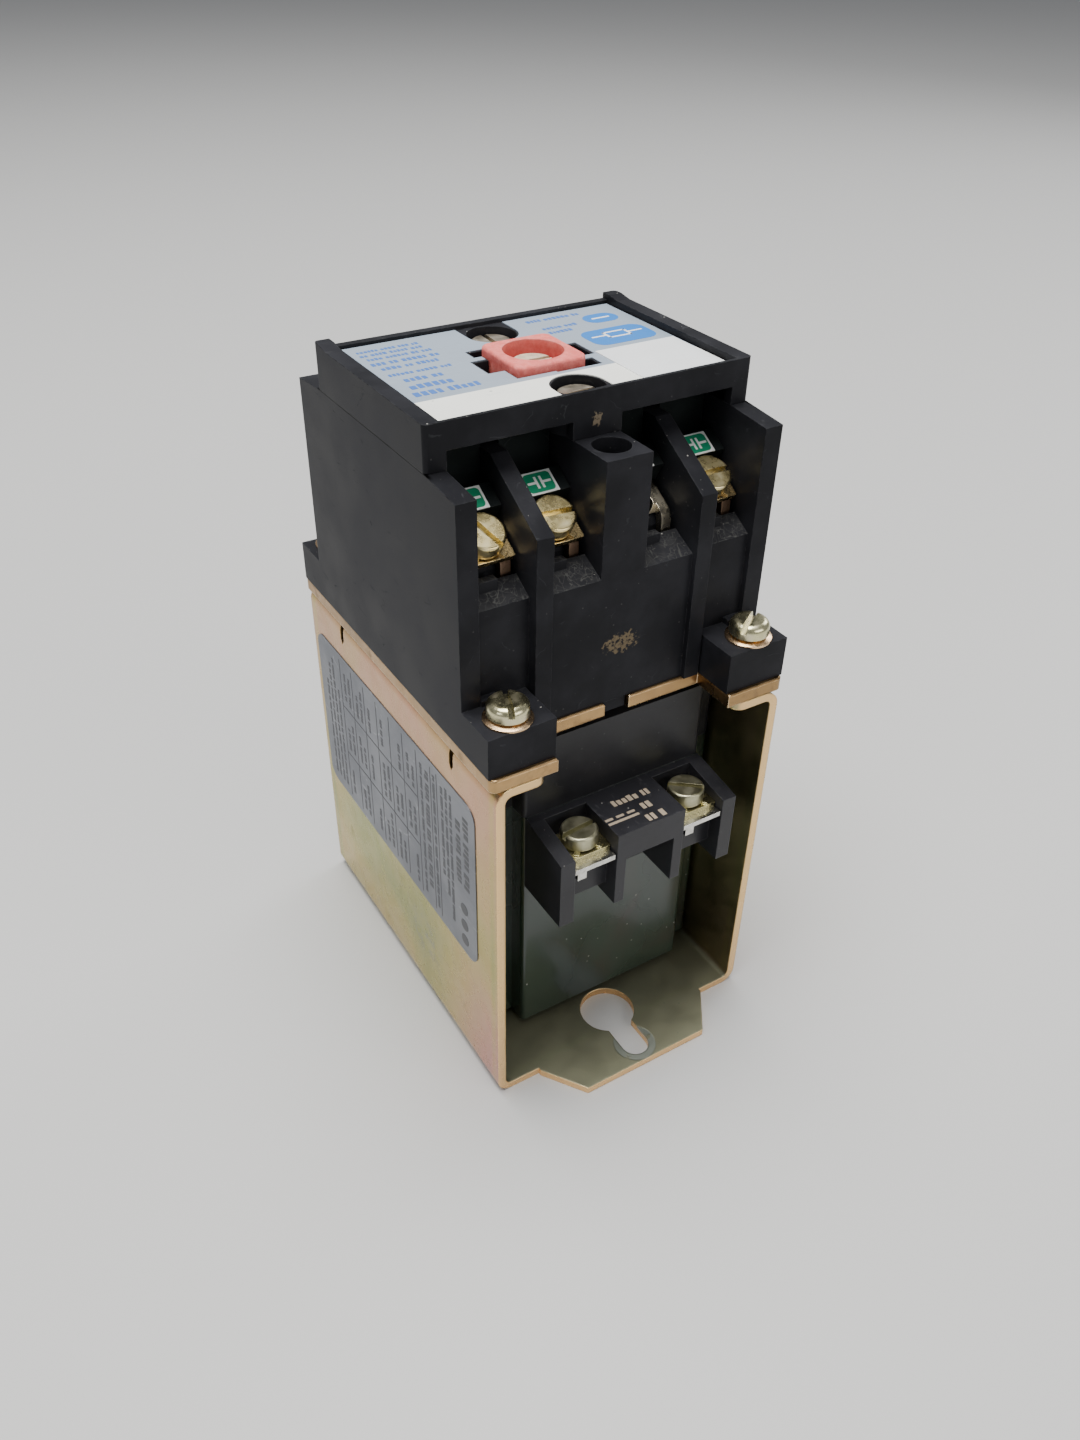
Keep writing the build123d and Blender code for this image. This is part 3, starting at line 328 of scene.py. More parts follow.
def frame_material():
    """The coil frame's finish, with the worn ring a mounting screw left round the keyhole."""
    look = Look("zinc_frame")
    rim = look.edges(0.45)
    color = look.ramp(
        frame_hues(look),
        (0.00, (0.30, 0.31, 0.08)),
        (0.22, (0.44, 0.37, 0.105)),
        (0.42, (0.53, 0.37, 0.14)),
        (0.60, (0.54, 0.33, 0.17)),
        (0.80, (0.56, 0.27, 0.20)),
        (0.95, (0.46, 0.25, 0.25)),
    )
    # inside the frame the chromate is duller, and its faces are painted darker and greener: painted shade,
    # and a painted reflection of the dark coil
    shaded_inner_faces = look.both(
        look.span(look.math("ABSOLUTE", look.x), 27.6, 27.2),
        look.span(look.z, 1.2, 1.5),
    )
    color = look.mix(look.scale(shaded_inner_faces, 0.75), color, (0.36, 0.35, 0.20))
    outer = look.math("SUBTRACT", 1.0, shaded_inner_faces)
    lines = look.noise(0.9, 3.0, 0.6, stretch=(1.0, 1.0, 0.06))
    color = look.mix(look.span(lines, 0.35, 0.72, 0.0, 0.16), color, (0.44, 0.37, 0.20))
    stain = look.both(look.span(look.noise(0.13, 6.0, 0.68), 0.60, 0.74), outer)
    color = look.mix(look.scale(stain, 0.32), color, (0.26, 0.23, 0.13))
    # a smudge low on the wall
    smudge = look.both(look.inside(look.y, -13.0, -3.0, 4.0), look.inside(look.z, 12.0, 21.0, 4.0))
    smudge = look.both(smudge, look.span(look.noise(0.45, 5.0, 0.65), 0.46, 0.60))
    color = look.mix(look.scale(smudge, 0.55), color, (0.22, 0.22, 0.22))
    dots = look.specks(2.4, 0.25, 1.1)
    color = look.mix(look.scale(dots, 0.4), color, (0.20, 0.17, 0.12))
    # painted highlight: the sheared ends of the sheet, the keyhole's rim and the edges are painted
    # brighter and more golden
    ends = look.span(look.math("ABSOLUTE", look.facing_y), 0.7, 0.95)
    cut = look.both(look.span(look.math("ABSOLUTE", look.facing_z), 0.3, 0.1), look.span(look.z, 1.7, 1.5))
    color = look.mix(look.scale(look.either(ends, cut), 0.85), color, (0.90, 0.60, 0.28))
    color = look.mix(look.scale(rim, 0.8), color, (1.0, 0.70, 0.34))
    # the ring round the keyhole's neck
    far = look.length(look.x, look.math("ADD", look.y, 42.0))
    ring = look.both(look.inside(far, 2.0, 4.2, 0.2), look.inside(look.z, 1.2, 2.0, 0.1))
    ring = look.both(ring, look.span(look.noise(0.5, 4.0), 0.30, 0.45))
    color = look.mix(look.scale(ring, 0.8), color, (0.52, 0.52, 0.52))
    # painted shade on the inner walls of the slit at the top of each wall
    slit_shade = look.inside(look.math("ABSOLUTE", look.y), 21.4, 23.2, 0.1)
    slit_shade = look.both(slit_shade, look.inside(look.z, 68.0, 73.4, 0.2))
    slit_shade = look.both(slit_shade, look.span(look.math("ABSOLUTE", look.facing_x), 0.7, 0.4))
    color = look.mix(look.scale(slit_shade, 0.9), color, (0.10, 0.06, 0.02))
    satin = look.span(look.noise(0.22, 5.0), 0.3, 0.7, 0.20, 0.32)
    rough = look.math("ADD", satin, look.scale(look.either(stain, ring, shaded_inner_faces), 0.12))
    # the foot is duller than the walls
    foot = look.both(look.span(look.z, 2.2, 1.8), look.span(look.facing_z, 0.3, 0.6))
    rough = look.math("ADD", rough, look.scale(foot, 0.14))
    dull = look.math("SUBTRACT", 1.0, look.scale(foot, 0.16))
    color = look.mix(look.scale(foot, 0.65), color, (0.16, 0.20, 0.15))
    sheet = look.noise(0.09, 2.0)
    normal = look.bumped((lines, 0.004), (look.noise(1.1, 3.0), 0.006), (sheet, 0.05), (ring, -0.06))
    return look.finish(color, rough, normal, metallic=dull)


def nearest_axis(look, spots, slope=0.0):
    """Distance from the nearest of a set of upright or sloping fasteners.

    They stand at |x| = near or far, on either side of |x| = split, and at |y| = end.
    """
    split, near, far, end = spots
    wide = look.math("ABSOLUTE", look.x)
    outer = look.math("GREATER_THAN", wide, split)
    middle = look.math("ADD", near, look.scale(outer, far - near))
    deep = look.math("SUBTRACT", look.math("ABSOLUTE", look.y), end)
    return look.length(look.math("SUBTRACT", wide, middle), look.math("DIVIDE", deep, math.cos(slope)))


def fastener(name, hues, dark, roughness, spots, slope=0.0):
    """A turned, plated fastener: ring marks from the lathe, stains, dirt, and edges painted brighter as
    wear and as a painted highlight.
    """
    look = Look(name)
    rim = look.edges(0.06)
    reach = look.scale(nearest_axis(look, spots, slope), 5.0)
    along = look.node("ShaderNodeCombineXYZ", {0: reach}).outputs[0]
    turned = look.noise(1.0, 2.0, 0.6, at=along)
    patch = look.noise(0.45, 4.0, 0.6)
    color = look.ramp(patch, (0.30, hues[0]), (0.50, hues[1]), (0.70, hues[2]))
    color = look.mix(look.span(turned, 0.45, 0.75, 0.0, 0.12), color, dark)
    stain = look.span(look.noise(1.1, 5.0, 0.7), 0.57, 0.72)
    color = look.mix(look.scale(stain, 0.16), color, dark)
    # edges painted brighter: worn plating and a painted highlight
    color = look.mix(look.scale(rim, 0.6), color, tuple(min(1.0, c * 1.2) for c in hues[1]))
    satin = look.span(patch, 0.3, 0.7, roughness - 0.05, roughness + 0.08)
    rough = look.math("ADD", satin, look.scale(stain, 0.15))
    normal = look.bumped((turned, 0.006), (look.noise(2.6, 3.0, 0.5), 0.004))
    return look.finish(color, rough, normal, metallic=1.0)


def sheet_metal(name, base, dark, roughness):
    """Small stamped metal parts: rolled grain, tarnish, and sheared edges painted brighter as wear and as
    a painted highlight.
    """
    look = Look(name)
    rim = look.edges(0.15)
    patch = look.noise(0.35, 5.0, 0.6)
    color = look.mix(look.span(patch, 0.35, 0.68), base, tuple(c * 0.7 for c in base))
    stain = look.span(look.noise(1.1, 5.0, 0.7), 0.52, 0.68)
    color = look.mix(look.scale(stain, 0.5), color, dark)
    # edges painted brighter: wear and a painted highlight
    color = look.mix(look.scale(rim, 0.55), color, tuple(min(1.0, c * 1.25) for c in base))
    rolled = look.noise(2.0, 3.0, 0.6, stretch=(1.0, 0.1, 0.1))
    satin = look.span(patch, 0.3, 0.7, roughness - 0.05, roughness + 0.1)
    rough = look.math("ADD", satin, look.scale(stain, 0.15))
    normal = look.bumped((rolled, 0.004), (look.noise(2.0, 3.0, 0.5), 0.004))
    return look.finish(color, rough, normal, metallic=1.0)


def jacket_material():
    """The coil's glossy, faintly wrapped encapsulation."""
    look = Look("coil_wrap")
    look.edges(0.1)
    cloud = look.noise(0.05, 4.0, 0.55, distortion=0.5)
    color = look.ramp(
        cloud,
        (0.32, (0.009, 0.019, 0.014)),
        (0.55, (0.016, 0.032, 0.023)),
        (0.75, (0.030, 0.026, 0.022)),
    )
    grit = look.specks(1.8, 0.30, 2.0)
    color = look.mix(look.scale(grit, 0.7), color, (0.40, 0.39, 0.36))
    wipe = look.noise(0.12, 2.0, 0.5, stretch=(0.5, 1.0, 0.4))
    color = look.mix(look.span(wipe, 0.50, 0.75, 0.0, 0.30), color, (0.050, 0.060, 0.052))
    rough = look.span(wipe, 0.3, 0.75, 0.20, 0.32)
    normal = look.bumped((look.noise(0.10, 2.0), 0.02), (look.noise(0.9, 3.0), 0.001))
    return look.finish(color, rough, normal, Specular_IOR_Level=0.6, Coat_Weight=0.3, Coat_Roughness=0.12)


def red_material():
    """The coral red actuator: matte and grainy, with painted shade down its bore."""
    look = Look("red_actuator")
    rim = look.edges(0.35)
    mottle = look.noise(0.8, 5.0, 0.7)
    color = look.mix(look.span(mottle, 0.35, 0.68), (0.70, 0.13, 0.11), (0.82, 0.21, 0.18))
    fleck = look.either(look.specks(0.55, 0.30, 4.0), look.specks(0.9, 0.25, 5.0))
    color = look.mix(look.scale(fleck, 0.55), color, (0.86, 0.42, 0.38))
    dark = look.specks(0.8, 0.22, 7.0)
    color = look.mix(look.scale(dark, 0.55), color, (0.30, 0.05, 0.05))
    # painted shade: the bore's wall is painted darker deeper down
    far = look.length(look.x, look.y)
    bore = look.both(look.span(far, 5.3, 4.9), look.span(look.z, 127.9, 126.6))
    color = look.mix(look.scale(bore, 0.45), color, (0.36, 0.045, 0.035))
    # edges painted lighter: edge wear and a painted highlight
    color = look.mix(look.scale(rim, 0.30), color, (0.88, 0.36, 0.31))
    normal = look.bumped((look.noise(2.6, 5.0, 0.7), 0.10), (fleck, 0.03))
    rough = look.span(mottle, 0.3, 0.7, 0.50, 0.68)
    return look.finish(
        color, rough, normal, Subsurface_Weight=0.12, Subsurface_Radius=(0.002, 0.0006, 0.0004)
    )


def pale_plastic(name, base):
    """Natural nylon, slightly soiled."""
    look = Look(name)
    rim = look.edges(0.15)
    mottle = look.noise(0.9, 5.0, 0.65)
    color = look.mix(look.span(mottle, 0.35, 0.7), base, tuple(c * 0.72 for c in base))
    soil = look.span(look.noise(2.0, 4.0, 0.7), 0.56, 0.70)
    color = look.mix(look.scale(soil, 0.5), color, (0.18, 0.14, 0.10))
    # edges painted lighter: edge wear and a painted highlight
    color = look.mix(look.scale(rim, 0.3), color, tuple(min(1.0, c * 1.2) for c in base))
    normal = look.bumped((look.noise(3.0, 4.0, 0.6), 0.03))
    return look.finish(
        color, 0.42, normal, Subsurface_Weight=0.1, Subsurface_Radius=(0.001, 0.0008, 0.0005)
    )


def label_material(name, base, soil, roughness, strip=None):
    """Printed film: faint fibres, soiling towards its edges, and an optional second ground colour."""
    look = Look(name)
    cloud = look.noise(0.12, 4.0, 0.6)
    color = look.mix(look.span(cloud, 0.3, 0.75, 0.0, 0.7), base, tuple(c * 0.88 for c in base))
    if strip:
        limit, ground = strip
        color = look.mix(look.span(look.y, limit + 0.06, limit - 0.06), color, ground)
    wipe = look.noise(0.5, 5.0, 0.65, stretch=(0.4, 1.0, 1.0))
    color = look.mix(look.span(wipe, 0.55, 0.80, 0.0, 0.40), color, soil)
    grit = look.specks(2.4, 0.22, 6.0)
    color = look.mix(look.scale(grit, 0.5), color, tuple(c * 0.4 for c in soil))
    rough = look.span(cloud, 0.3, 0.7, roughness - 0.05, roughness + 0.08)
    normal = look.bumped((look.noise(0.18, 3.0), 0.04), (look.noise(4.0, 3.0), 0.006))
    return look.finish(color, rough, normal, Specular_IOR_Level=0.5)


def foil_material():
    """The side label's printed aluminium foil."""
    look = Look("foil_label")
    cloud = look.noise(0.07, 4.0, 0.6)
    color = look.mix(look.span(cloud, 0.3, 0.75), (0.19, 0.20, 0.225), (0.15, 0.16, 0.185))
    brushed = look.noise(2.4, 3.0, 0.6, stretch=(1.0, 0.04, 1.0))
    color = look.mix(look.span(brushed, 0.4, 0.7, 0.0, 0.20), color, (0.12, 0.13, 0.145))
    scratch = look.scratches(16.0, 0.010, (1.0, 0.4, 1.2), 0.5)
    color = look.mix(look.scale(scratch, 0.4), color, (0.45, 0.46, 0.48))
    rough = look.span(cloud, 0.3, 0.7, 0.36, 0.46)
    normal = look.bumped((brushed, 0.003), (look.noise(0.12, 3.0), 0.04), (scratch, -0.01))
    return look.finish(color, rough, normal, metallic=0.55)


def ink_material(name, color, roughness=0.45):
    """Printing ink, a little worn."""
    look = Look(name)
    wear = look.span(look.noise(1.6, 5.0, 0.7), 0.52, 0.80, 0.0, 0.25)
    shade = look.mix(wear, color, tuple(min(1.0, c * 0.8 + 0.10) for c in color))
    normal = look.bumped((look.noise(5.0, 3.0), 0.004))
    return look.finish(shade, roughness, normal, Specular_IOR_Level=0.4)


def metal(name, base, roughness):
    """Plain turned or drawn metal, for the parts inside."""
    look = Look(name)
    look.edges(0.2)
    patch = look.noise(0.3, 4.0, 0.6)
    color = look.mix(look.span(patch, 0.35, 0.7), base, tuple(c * 0.75 for c in base))
    lathe = look.noise(3.0, 3.0, 0.6, stretch=(0.05, 0.05, 1.0))
    normal = look.bumped((lathe, 0.02))
    rough = look.span(patch, 0.3, 0.7, roughness - 0.05, roughness + 0.07)
    return look.finish(color, rough, normal, metallic=1.0)


def winding_material():
    """Enamelled copper wire, layer on layer, with painted shade between the turns and a painted highlight
    on their crests.
    """
    look = Look("winding_wire")
    turns = look.math("SINE", look.scale(look.z, 2 * math.pi / 0.5))
    # painted shade in the grooves between the turns, painted highlight on their crests
    shade = look.span(turns, -1.0, 1.0)
    color = look.mix(shade, (0.20, 0.05, 0.02), (0.62, 0.24, 0.10))
    return look.finish(color, 0.25, look.bumped((turns, 0.06)), metallic=0.9)


screw_gold = fastener(
    "terminal_gold",
    ((0.66, 0.53, 0.24), (0.78, 0.66, 0.34), (0.74, 0.66, 0.42)),
    (0.30, 0.22, 0.09),
    0.28,
    (15.0, 8.9, 21.25, 21.9),
    SLOPE,
)
screw_nickel = fastener(
    "coil_screw_nickel",
    ((0.40, 0.39, 0.25), (0.50, 0.48, 0.33), (0.58, 0.56, 0.42)),
    (0.18, 0.17, 0.09),
    0.36,
    (1.8, 9.7, 13.3, 33.3),
)
screw_cover = fastener(
    "cover_screw_steel",
    ((0.50, 0.44, 0.34), (0.62, 0.55, 0.44), (0.72, 0.66, 0.56)),
    (0.16, 0.12, 0.08),
    0.36,
    (60.0, 0.0, 0.0, COVER_SCREW_Y),
)
screw_corner = fastener(
    "corner_screw_zinc",
    ((0.56, 0.52, 0.30), (0.68, 0.64, 0.40), (0.74, 0.66, 0.48)),
    (0.26, 0.22, 0.10),
    0.26,
    (60.0, EAR_X, 0.0, EAR_Y),
)
clamp_gold = sheet_metal("clamp_gold", (0.84, 0.64, 0.32), (0.40, 0.26, 0.10), 0.22)
coil_clamp_gold = sheet_metal("coil_clamp_gold", (0.72, 0.66, 0.36), (0.36, 0.30, 0.12), 0.24)
strap_copper = sheet_metal("strap_copper", (0.42, 0.27, 0.18), (0.12, 0.07, 0.04), 0.34)
strap_bright = sheet_metal("strap_bright", (0.74, 0.67, 0.52), (0.34, 0.27, 0.16), 0.26)
tinned = sheet_metal("tinned_brass", (0.80, 0.79, 0.74), (0.40, 0.38, 0.32), 0.20)
washer = sheet_metal("washer_copper", (0.86, 0.60, 0.36), (0.40, 0.25, 0.12), 0.20)
housing_black = moulding(
    "housing_black",
    (0.0135, 0.0137, 0.0160),
    (0.070, 0.073, 0.080),
    0.36,
    0.50,
    marks=(
        (oval_mark(0.5, -29.0, -27.2, 88.0, 3.1, 1.7), (0.15, 0.115, 0.07)),
        (shelf_scuffs, (0.055, 0.055, 0.053)),
        # painted shadow along the parting line
        (parting_shadow, (0.001, 0.001, 0.001)),
    ),
)
cover_black = moulding(
    "cover_black",
    (0.0135, 0.0137, 0.0160),
    (0.085, 0.09, 0.095),
    0.34,
    0.55,
    marks=(
        (oval_mark(-0.2, -19.5, -18.9, 123.2, 0.8, 1.1), (0.20, 0.16, 0.11)),
        # painted shadow along the parting line
        (parting_shadow, (0.001, 0.001, 0.001)),
    ),
)
block_black = moulding(
    "coil_block_black", (0.016, 0.016, 0.019), (0.10, 0.10, 0.11), 0.36, 0.75, gloss=0.3
)
cap_black = moulding(
    "coil_cap_black", (0.014, 0.014, 0.016), (0.08, 0.08, 0.085), 0.34, 1.0, gloss=0.3
)
cartridge_black = moulding("cartridge_black", (0.008, 0.010, 0.010), (0.07, 0.075, 0.075), 0.42, 0.4)

FINISHES = {
    "magnet_frame": frame_material(),
    "pole_plate": plate_material(),
    "fixed_core": metal("core_steel", (0.46, 0.46, 0.47), 0.34),
    "residual_shim": metal("shim_brass", (0.75, 0.58, 0.30), 0.30),
    "guide_tube": metal("guide_brass", (0.80, 0.62, 0.32), 0.22),
    "coil_bobbin": pale_plastic("bobbin_nylon", (0.70, 0.67, 0.58)),
    "coil_winding": winding_material(),
    "coil_jacket": jacket_material(),
    "coil_cap": cap_black,
    "coil_terminal_block": block_black,
    "coil_terminals": tinned,
    "coil_clamps": coil_clamp_gold,
    "coil_screws": screw_nickel,
    "base_housing": housing_black,
    "cover": cover_black,
    "cover_screws": screw_cover,
    "corner_washers": washer,
    "corner_screws": screw_corner,
    "fixed_tips": metal("contact_silver", (0.88, 0.88, 0.86), 0.24),
    "terminal_clamps": clamp_gold,
    "terminal_screws": screw_gold,
    "return_spring": metal("spring_wire", (0.60, 0.60, 0.62), 0.22),
    "plunger": metal("plunger_steel", (0.52, 0.52, 0.53), 0.28),
    "stem": metal("stem_brass", (0.78, 0.62, 0.34), 0.24),
    "actuator_carrier": red_material(),
    "actuator_screw": pale_plastic("actuator_screw_nylon", (0.62, 0.52, 0.38)),
    "top_label": label_material(
        "top_label_film", (0.31, 0.37, 0.44), (0.40, 0.45, 0.50), 0.34, (-8.4, (0.88, 0.89, 0.83))
    ),
    "tag_sticker": label_material("sticker_white", (0.84, 0.86, 0.87), (0.70, 0.71, 0.71), 0.30),
    "rating_label": foil_material(),
    "pole_labels": label_material("pole_label_white", (0.80, 0.82, 0.80), (0.55, 0.57, 0.55), 0.40),
}
FINISHES["moving_tips"] = FINISHES["fixed_tips"]
for number in range(1, 5):
    FINISHES[f"front_strap_{number}"] = strap_bright if number == 2 else strap_copper
    FINISHES[f"rear_strap_{number}"] = strap_copper
    FINISHES[f"contact_cartridge_{number}"] = cartridge_black
    FINISHES[f"moving_bridge_{number}"] = strap_copper
    FINISHES[f"contact_spring_{number}"] = FINISHES["return_spring"]

for name, obj in nodes.items():
    for slot in obj.material_slots:
        slot.material = FINISHES[name]


# ---- return spring: a copy of its own mesh, attached to the relay body in place of the imported one ---

spring = bpy.data.objects.new("return_spring_coil", nodes["return_spring"].data.copy())
bpy.context.scene.collection.objects.link(spring)
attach(spring, ROOT)
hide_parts("return_spring")
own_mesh(spring)


# ---- printing: thin pads of ink on the labels and the coil block ----------------------------


INK_THICK = 0.03
LABEL_THICK = 0.15
TOP_LABEL_LOW = 126.5
SIDE_WALL_X = -28.5
COIL_BLOCK_TOP = 56.5
POLE_LABEL_LIFT = 0.20
POLE_LABEL_LOW = 3.55
POLE_LABEL_HIGH = 4.1


def pad_outline(width, height, corner):
    """Points round a rounded rectangle."""
    steps = 5 if corner > 0.12 else 2
    points = []
    for start, sx, sy in ((0, 1, 1), (90, -1, 1), (180, -1, -1), (270, 1, -1)):
        cx = sx * (width / 2 - corner)
        cy = sy * (height / 2 - corner)
        for index in range(steps + 1):
            angle = math.radians(start + 90 * index / steps)
            points.append((cx + corner * math.cos(angle), cy + corner * math.sin(angle)))
    return points


def printed(name, pads, origin, across, up, ink, lift=0.0):
    """One mesh of thin closed pads. A pad is (centre across, centre up, width, height, corner), in mm."""
    across = Vector(across).normalized()
    up = Vector(up).normalized()
    out = across.cross(up)
    verts = []
    faces = []
    for u, v, width, height, corner in pads:
        ring = pad_outline(width, height, min(corner, width / 2.01, height / 2.01))
        first = len(verts)
        count = len(ring)
        for level in (lift, lift + INK_THICK):
            for du, dv in ring:
                spot = Vector(origin) + across * (u + du) + up * (v + dv) + out * level
                verts.append(spot * MM)
        faces.append([first + index for index in reversed(range(count))])
        faces.append([first + count + index for index in range(count)])
        for index in range(count):
            after = (index + 1) % count
            faces.append([first + index, first + after, first + count + after, first + count + index])
    mesh = bpy.data.meshes.new(name)
    mesh.from_pydata(verts, [], faces)
    mesh.update()
    piece = bpy.data.objects.new(name, mesh)
    bpy.context.scene.collection.objects.link(piece)
    mesh.materials.append(ink)
    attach(piece, ROOT)


def words(rng, u_low, u_high, v, height):
    """A line of plain blocks grouped like words. They aren't letters."""
    pads = []
    u = u_low
    while u < u_high - height:
        run = rng.randint(2, 6)
        for _ in range(run):
            width = height * rng.uniform(0.38, 0.62)
            if u + width > u_high:
                break
            tall = height * rng.choice((1.0, 1.0, 0.82))
            pads.append((u + width / 2, v - (height - tall) / 2, width, tall, 0.08))
            u += width + height * 0.20
        u += height * 0.45
    return pads


rng = random.Random(7)
label_face = TOP_LABEL_LOW + LABEL_THICK
ink_blue = ink_material("ink_blue", (0.055, 0.15, 0.44))
ink_badge = ink_material("ink_badge", (0.03, 0.19, 0.56), 0.35)
ink_dark = ink_material("ink_dark", (0.05, 0.052, 0.06))
ink_cream = ink_material("ink_cream", (0.42, 0.34, 0.25))
ink_green = ink_material("ink_green", (0.004, 0.24, 0.115), 0.40)
ink_white = ink_material("ink_white", (0.80, 0.82, 0.80))

blue_pads = []
for v, height, low, high in (
    (-5.6, 1.7, -24.0, -12.2),
    (-2.6, 1.7, -23.2, -13.6),
    (0.6, 1.5, -22.6, -14.8),
    (3.5, 1.0, -23.8, -12.8),
    (6.6, 1.2, -23.6, -12.6),
    (9.0, 1.2, -24.2, -12.4),
    (11.4, 1.0, -23.8, -12.2),
    (13.4, 1.0, -24.2, -11.8),
    (15.2, 0.9, -24.0, -12.6),
):
    blue_pads += words(rng, low, high, v, height)
for v, low, high in ((15.6, 8.0, 18.6), (11.2, 8.6, 15.4), (9.0, 8.6, 14.6)):
    blue_pads += words(rng, low, high, v, 1.1)
printed("top_print", blue_pads, (0, 0, label_face), (1, 0, 0), (0, 1, 0), ink_blue)
printed(
    "top_badge",
    [(18.6, 2.9, 12.4, 7.4, 2.2), (20.8, 11.8, 6.6, 4.4, 2.1)],
    (0, 0, label_face),
    (1, 0, 0),
    (0, 1, 0),
    ink_badge,
)
# the badge's plain symbol: a coil drawn as a box on a line
coil_symbol = [
    (18.6, 4.6, 4.6, 0.45, 0.1),
    (18.6, 2.2, 4.6, 0.45, 0.1),
    (16.5, 3.4, 0.45, 2.8, 0.1),
    (20.7, 3.4, 0.45, 2.8, 0.1),
    (14.9, 3.4, 2.8, 0.45, 0.1),
    (22.3, 3.4, 2.8, 0.45, 0.1),
    (20.8, 11.8, 3.6, 0.5, 0.1),
]
printed(
    "top_badge_symbol",
    coil_symbol,
    (0, 0, label_face),
    (1, 0, 0),
    (0, 1, 0),
    ink_white,
    INK_THICK,
)

# side label: a framed table with rows of plain blocks, read along the frame's height
side_face = SIDE_WALL_X - LABEL_THICK
table = []
LOW_Z, HIGH_Z = 29.6, 64.0
for y in (-16.6, -14.2, -8.6, -3.0, 2.6, 8.2, 13.8, 19.4, 25.0):
    table.append((-y, 46.8, 0.22, HIGH_Z - LOW_Z, 0.05))
for z in (41.2, 53.0):
    table.append((-(25.0 - 8.6) / 2, z, 33.6, 0.22, 0.05))
print_rows = []
for y, size, low, high in (
    (-27.0, 1.9, 45.0, 63.0),
    (-24.2, 1.7, 45.0, 60.0),
    (-21.6, 0.9, 33.0, 63.2),
    (-20.0, 0.9, 38.0, 63.2),
    (-18.4, 0.9, 42.0, 63.2),
    (-15.4, 0.9, 31.0, 63.2),
    (-12.6, 1.5, 34.0, 62.8),
    (-10.4, 0.9, 31.0, 62.8),
):
    print_rows.append((y, size, low, high))
for y in (-6.9, -4.9, -1.3, 0.7, 4.3, 6.3, 9.9, 11.9, 15.5, 17.5, 21.1, 23.1):
    for low, high in ((30.6, 39.8), (42.4, 51.6), (54.2, 62.8)):
        if rng.random() < 0.86:
            print_rows.append((y, 0.95, low + rng.uniform(0, 1.0), high - rng.uniform(0, 3.0)))
for y in (27.0, 28.8, 30.6, 32.4):
    print_rows.append((y, 0.85, 31.0, 63.0 - rng.uniform(0, 8.0)))
for y, size, low, high in print_rows:
    for v, u, height, width, corner in words(rng, low, high, y, size):
        table.append((-u, v, width, height, corner))
# plain marks in place of approval signs
for z in (31.6, 35.4, 39.4):
    table.append((25.8, z, 2.6, 2.4, 1.1))
printed("side_print", table, (side_face, 0, 0), (0, -1, 0), (0, 0, 1), ink_dark)

# coil block: three lines of plain blocks, and the direct-current sign
coil_pads = words(rng, -1.6, 6.6, -31.4, 1.5)
coil_pads += words(rng, 2.6, 6.4, -34.4, 1.6)
coil_pads += words(rng, 1.6, 6.4, -37.5, 1.7)
coil_pads += [(-2.0, -35.7, 6.4, 0.55, 0.1)]
coil_pads += [(-4.4 + step * 2.3, -34.6, 1.6, 0.55, 0.1) for step in range(3)]
printed("coil_print", coil_pads, (0, 0, COIL_BLOCK_TOP), (1, 0, 0), (0, 1, 0), ink_cream)

# pole labels: a green pad with the sign of an open contact
label_up = POLE_LABEL_LOW + POLE_LABEL_HIGH / 2
for end in (-1, 1):
    side = "front" if end < 0 else "rear"
    green = []
    sign = []
    for x in POLES:
        u = x * -end
        green += [(u - 0.15, label_up, 4.7, 3.5, 0.7)]
        sign += [
            (u - 0.60, label_up, 0.42, 2.2, 0.05),
            (u + 0.30, label_up, 0.42, 2.2, 0.05),
            (u - 1.50, label_up, 1.4, 0.42, 0.05),
            (u + 1.20, label_up, 1.4, 0.42, 0.05),
        ]
    normal = Vector((0, end * math.sin(SLOPE), math.cos(SLOPE)))
    up = Vector((0, -end * math.cos(SLOPE), math.sin(SLOPE)))
    face = Vector((0, end * -FACE_Y, FACE_Z)) + normal * POLE_LABEL_LIFT
    across = Vector((-end, 0, 0))
    printed(f"{side}_pole_green", green, face, across, up, ink_green)
    printed(f"{side}_pole_sign", sign, face, across, up, ink_white, INK_THICK)


# ---- floor, light and camera ------------------------------------------------------------------

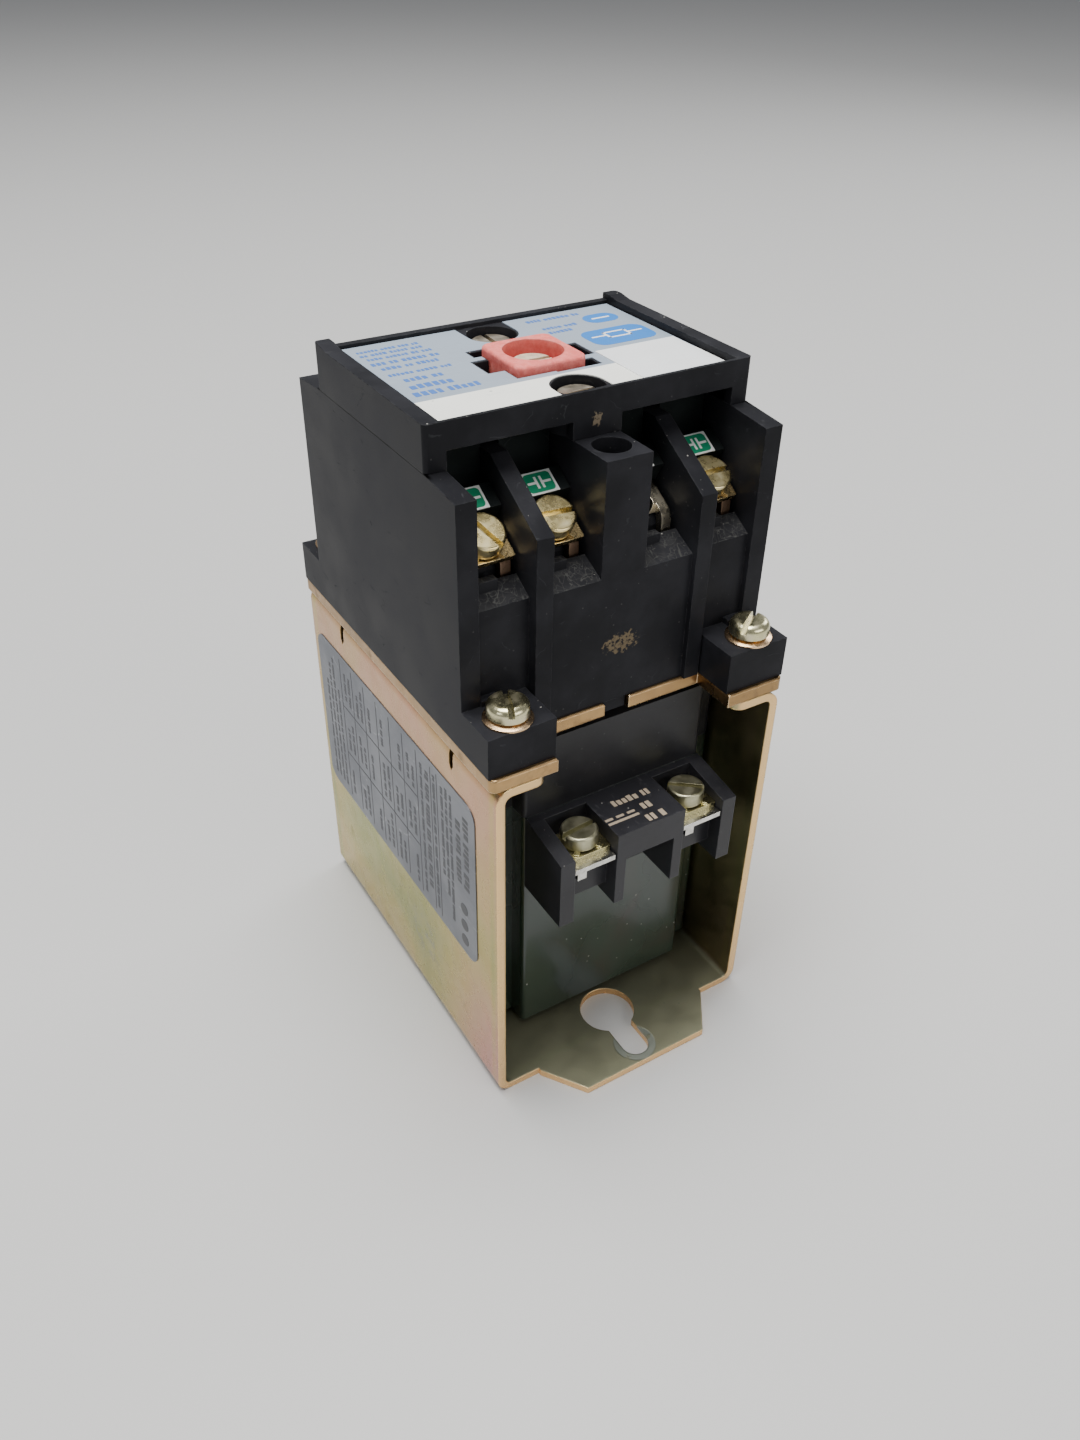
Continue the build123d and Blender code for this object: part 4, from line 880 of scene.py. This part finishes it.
floor_mesh = bpy.data.meshes.new("floor")
FLOOR_HALF = 8.0
corners = [
    (-FLOOR_HALF, -FLOOR_HALF),
    (FLOOR_HALF, -FLOOR_HALF),
    (FLOOR_HALF, FLOOR_HALF),
    (-FLOOR_HALF, FLOOR_HALF),
]
floor_mesh.from_pydata([(x, y, 0.0) for x, y in corners], [], [(0, 1, 2, 3)])
floor = bpy.data.objects.new("floor", floor_mesh)
bpy.context.scene.collection.objects.link(floor)
ground = Look("floor_pale")
floor_mesh.materials.append(ground.finish((0.52, 0.52, 0.515), 0.55))

world = bpy.data.worlds.new("studio")
bpy.context.scene.world = world
world.use_nodes = True
world.node_tree.nodes["Background"].inputs[0].default_value = (0.80, 0.82, 0.86, 1.0)
world.node_tree.nodes["Background"].inputs[1].default_value = 0.30


def panel_light(name, spot, aim, size, power, color):
    """A soft rectangular light."""
    data = bpy.data.lights.new(name, "AREA")
    data.shape = "RECTANGLE"
    data.size, data.size_y = size
    data.energy = power
    data.color = color
    light = bpy.data.objects.new(name, data)
    bpy.context.scene.collection.objects.link(light)
    light.location = spot
    light.rotation_euler = (Vector(aim) - Vector(spot)).to_track_quat("-Z", "Y").to_euler()


panel_light("key", (-0.12, 0.12, 1.30), (0, 0, 0.06), (1.0, 0.8), 34.0, (1.0, 0.99, 0.97))
panel_light("front", (0.35, -0.95, 0.55), (0, 0, 0.07), (0.8, 0.4), 4.0, (1.0, 0.97, 0.93))
panel_light("left", (-1.1, -0.30, 0.60), (0, 0, 0.06), (0.4, 0.4), 1.5, (0.97, 0.98, 1.0))
panel_light("right", (1.0, 0.30, 0.60), (0, 0, 0.08), (0.4, 0.4), 3.0, (1.0, 1.0, 1.0))

CAMERA_SPOT = Vector((-96.36, -158.99, 190.82)) * MM
CAMERA_AHEAD = Vector((0.42621, 0.68485, -0.59104))
CAMERA_UP = Vector((0.29633, 0.51161, 0.80650))
CAMERA_LENS = 29.28

camera_data = bpy.data.cameras.new("camera")
camera_data.lens = CAMERA_LENS
camera_data.sensor_width = 36.0
camera_data.clip_start = 0.01
camera = bpy.data.objects.new("camera", camera_data)
bpy.context.scene.collection.objects.link(camera)
right = CAMERA_AHEAD.cross(CAMERA_UP).normalized()
up = right.cross(CAMERA_AHEAD).normalized()
back = -CAMERA_AHEAD.normalized()
turn = Matrix((right, up, back)).transposed().to_4x4()
camera.matrix_world = Matrix.Translation(CAMERA_SPOT) @ turn
bpy.context.scene.camera = camera
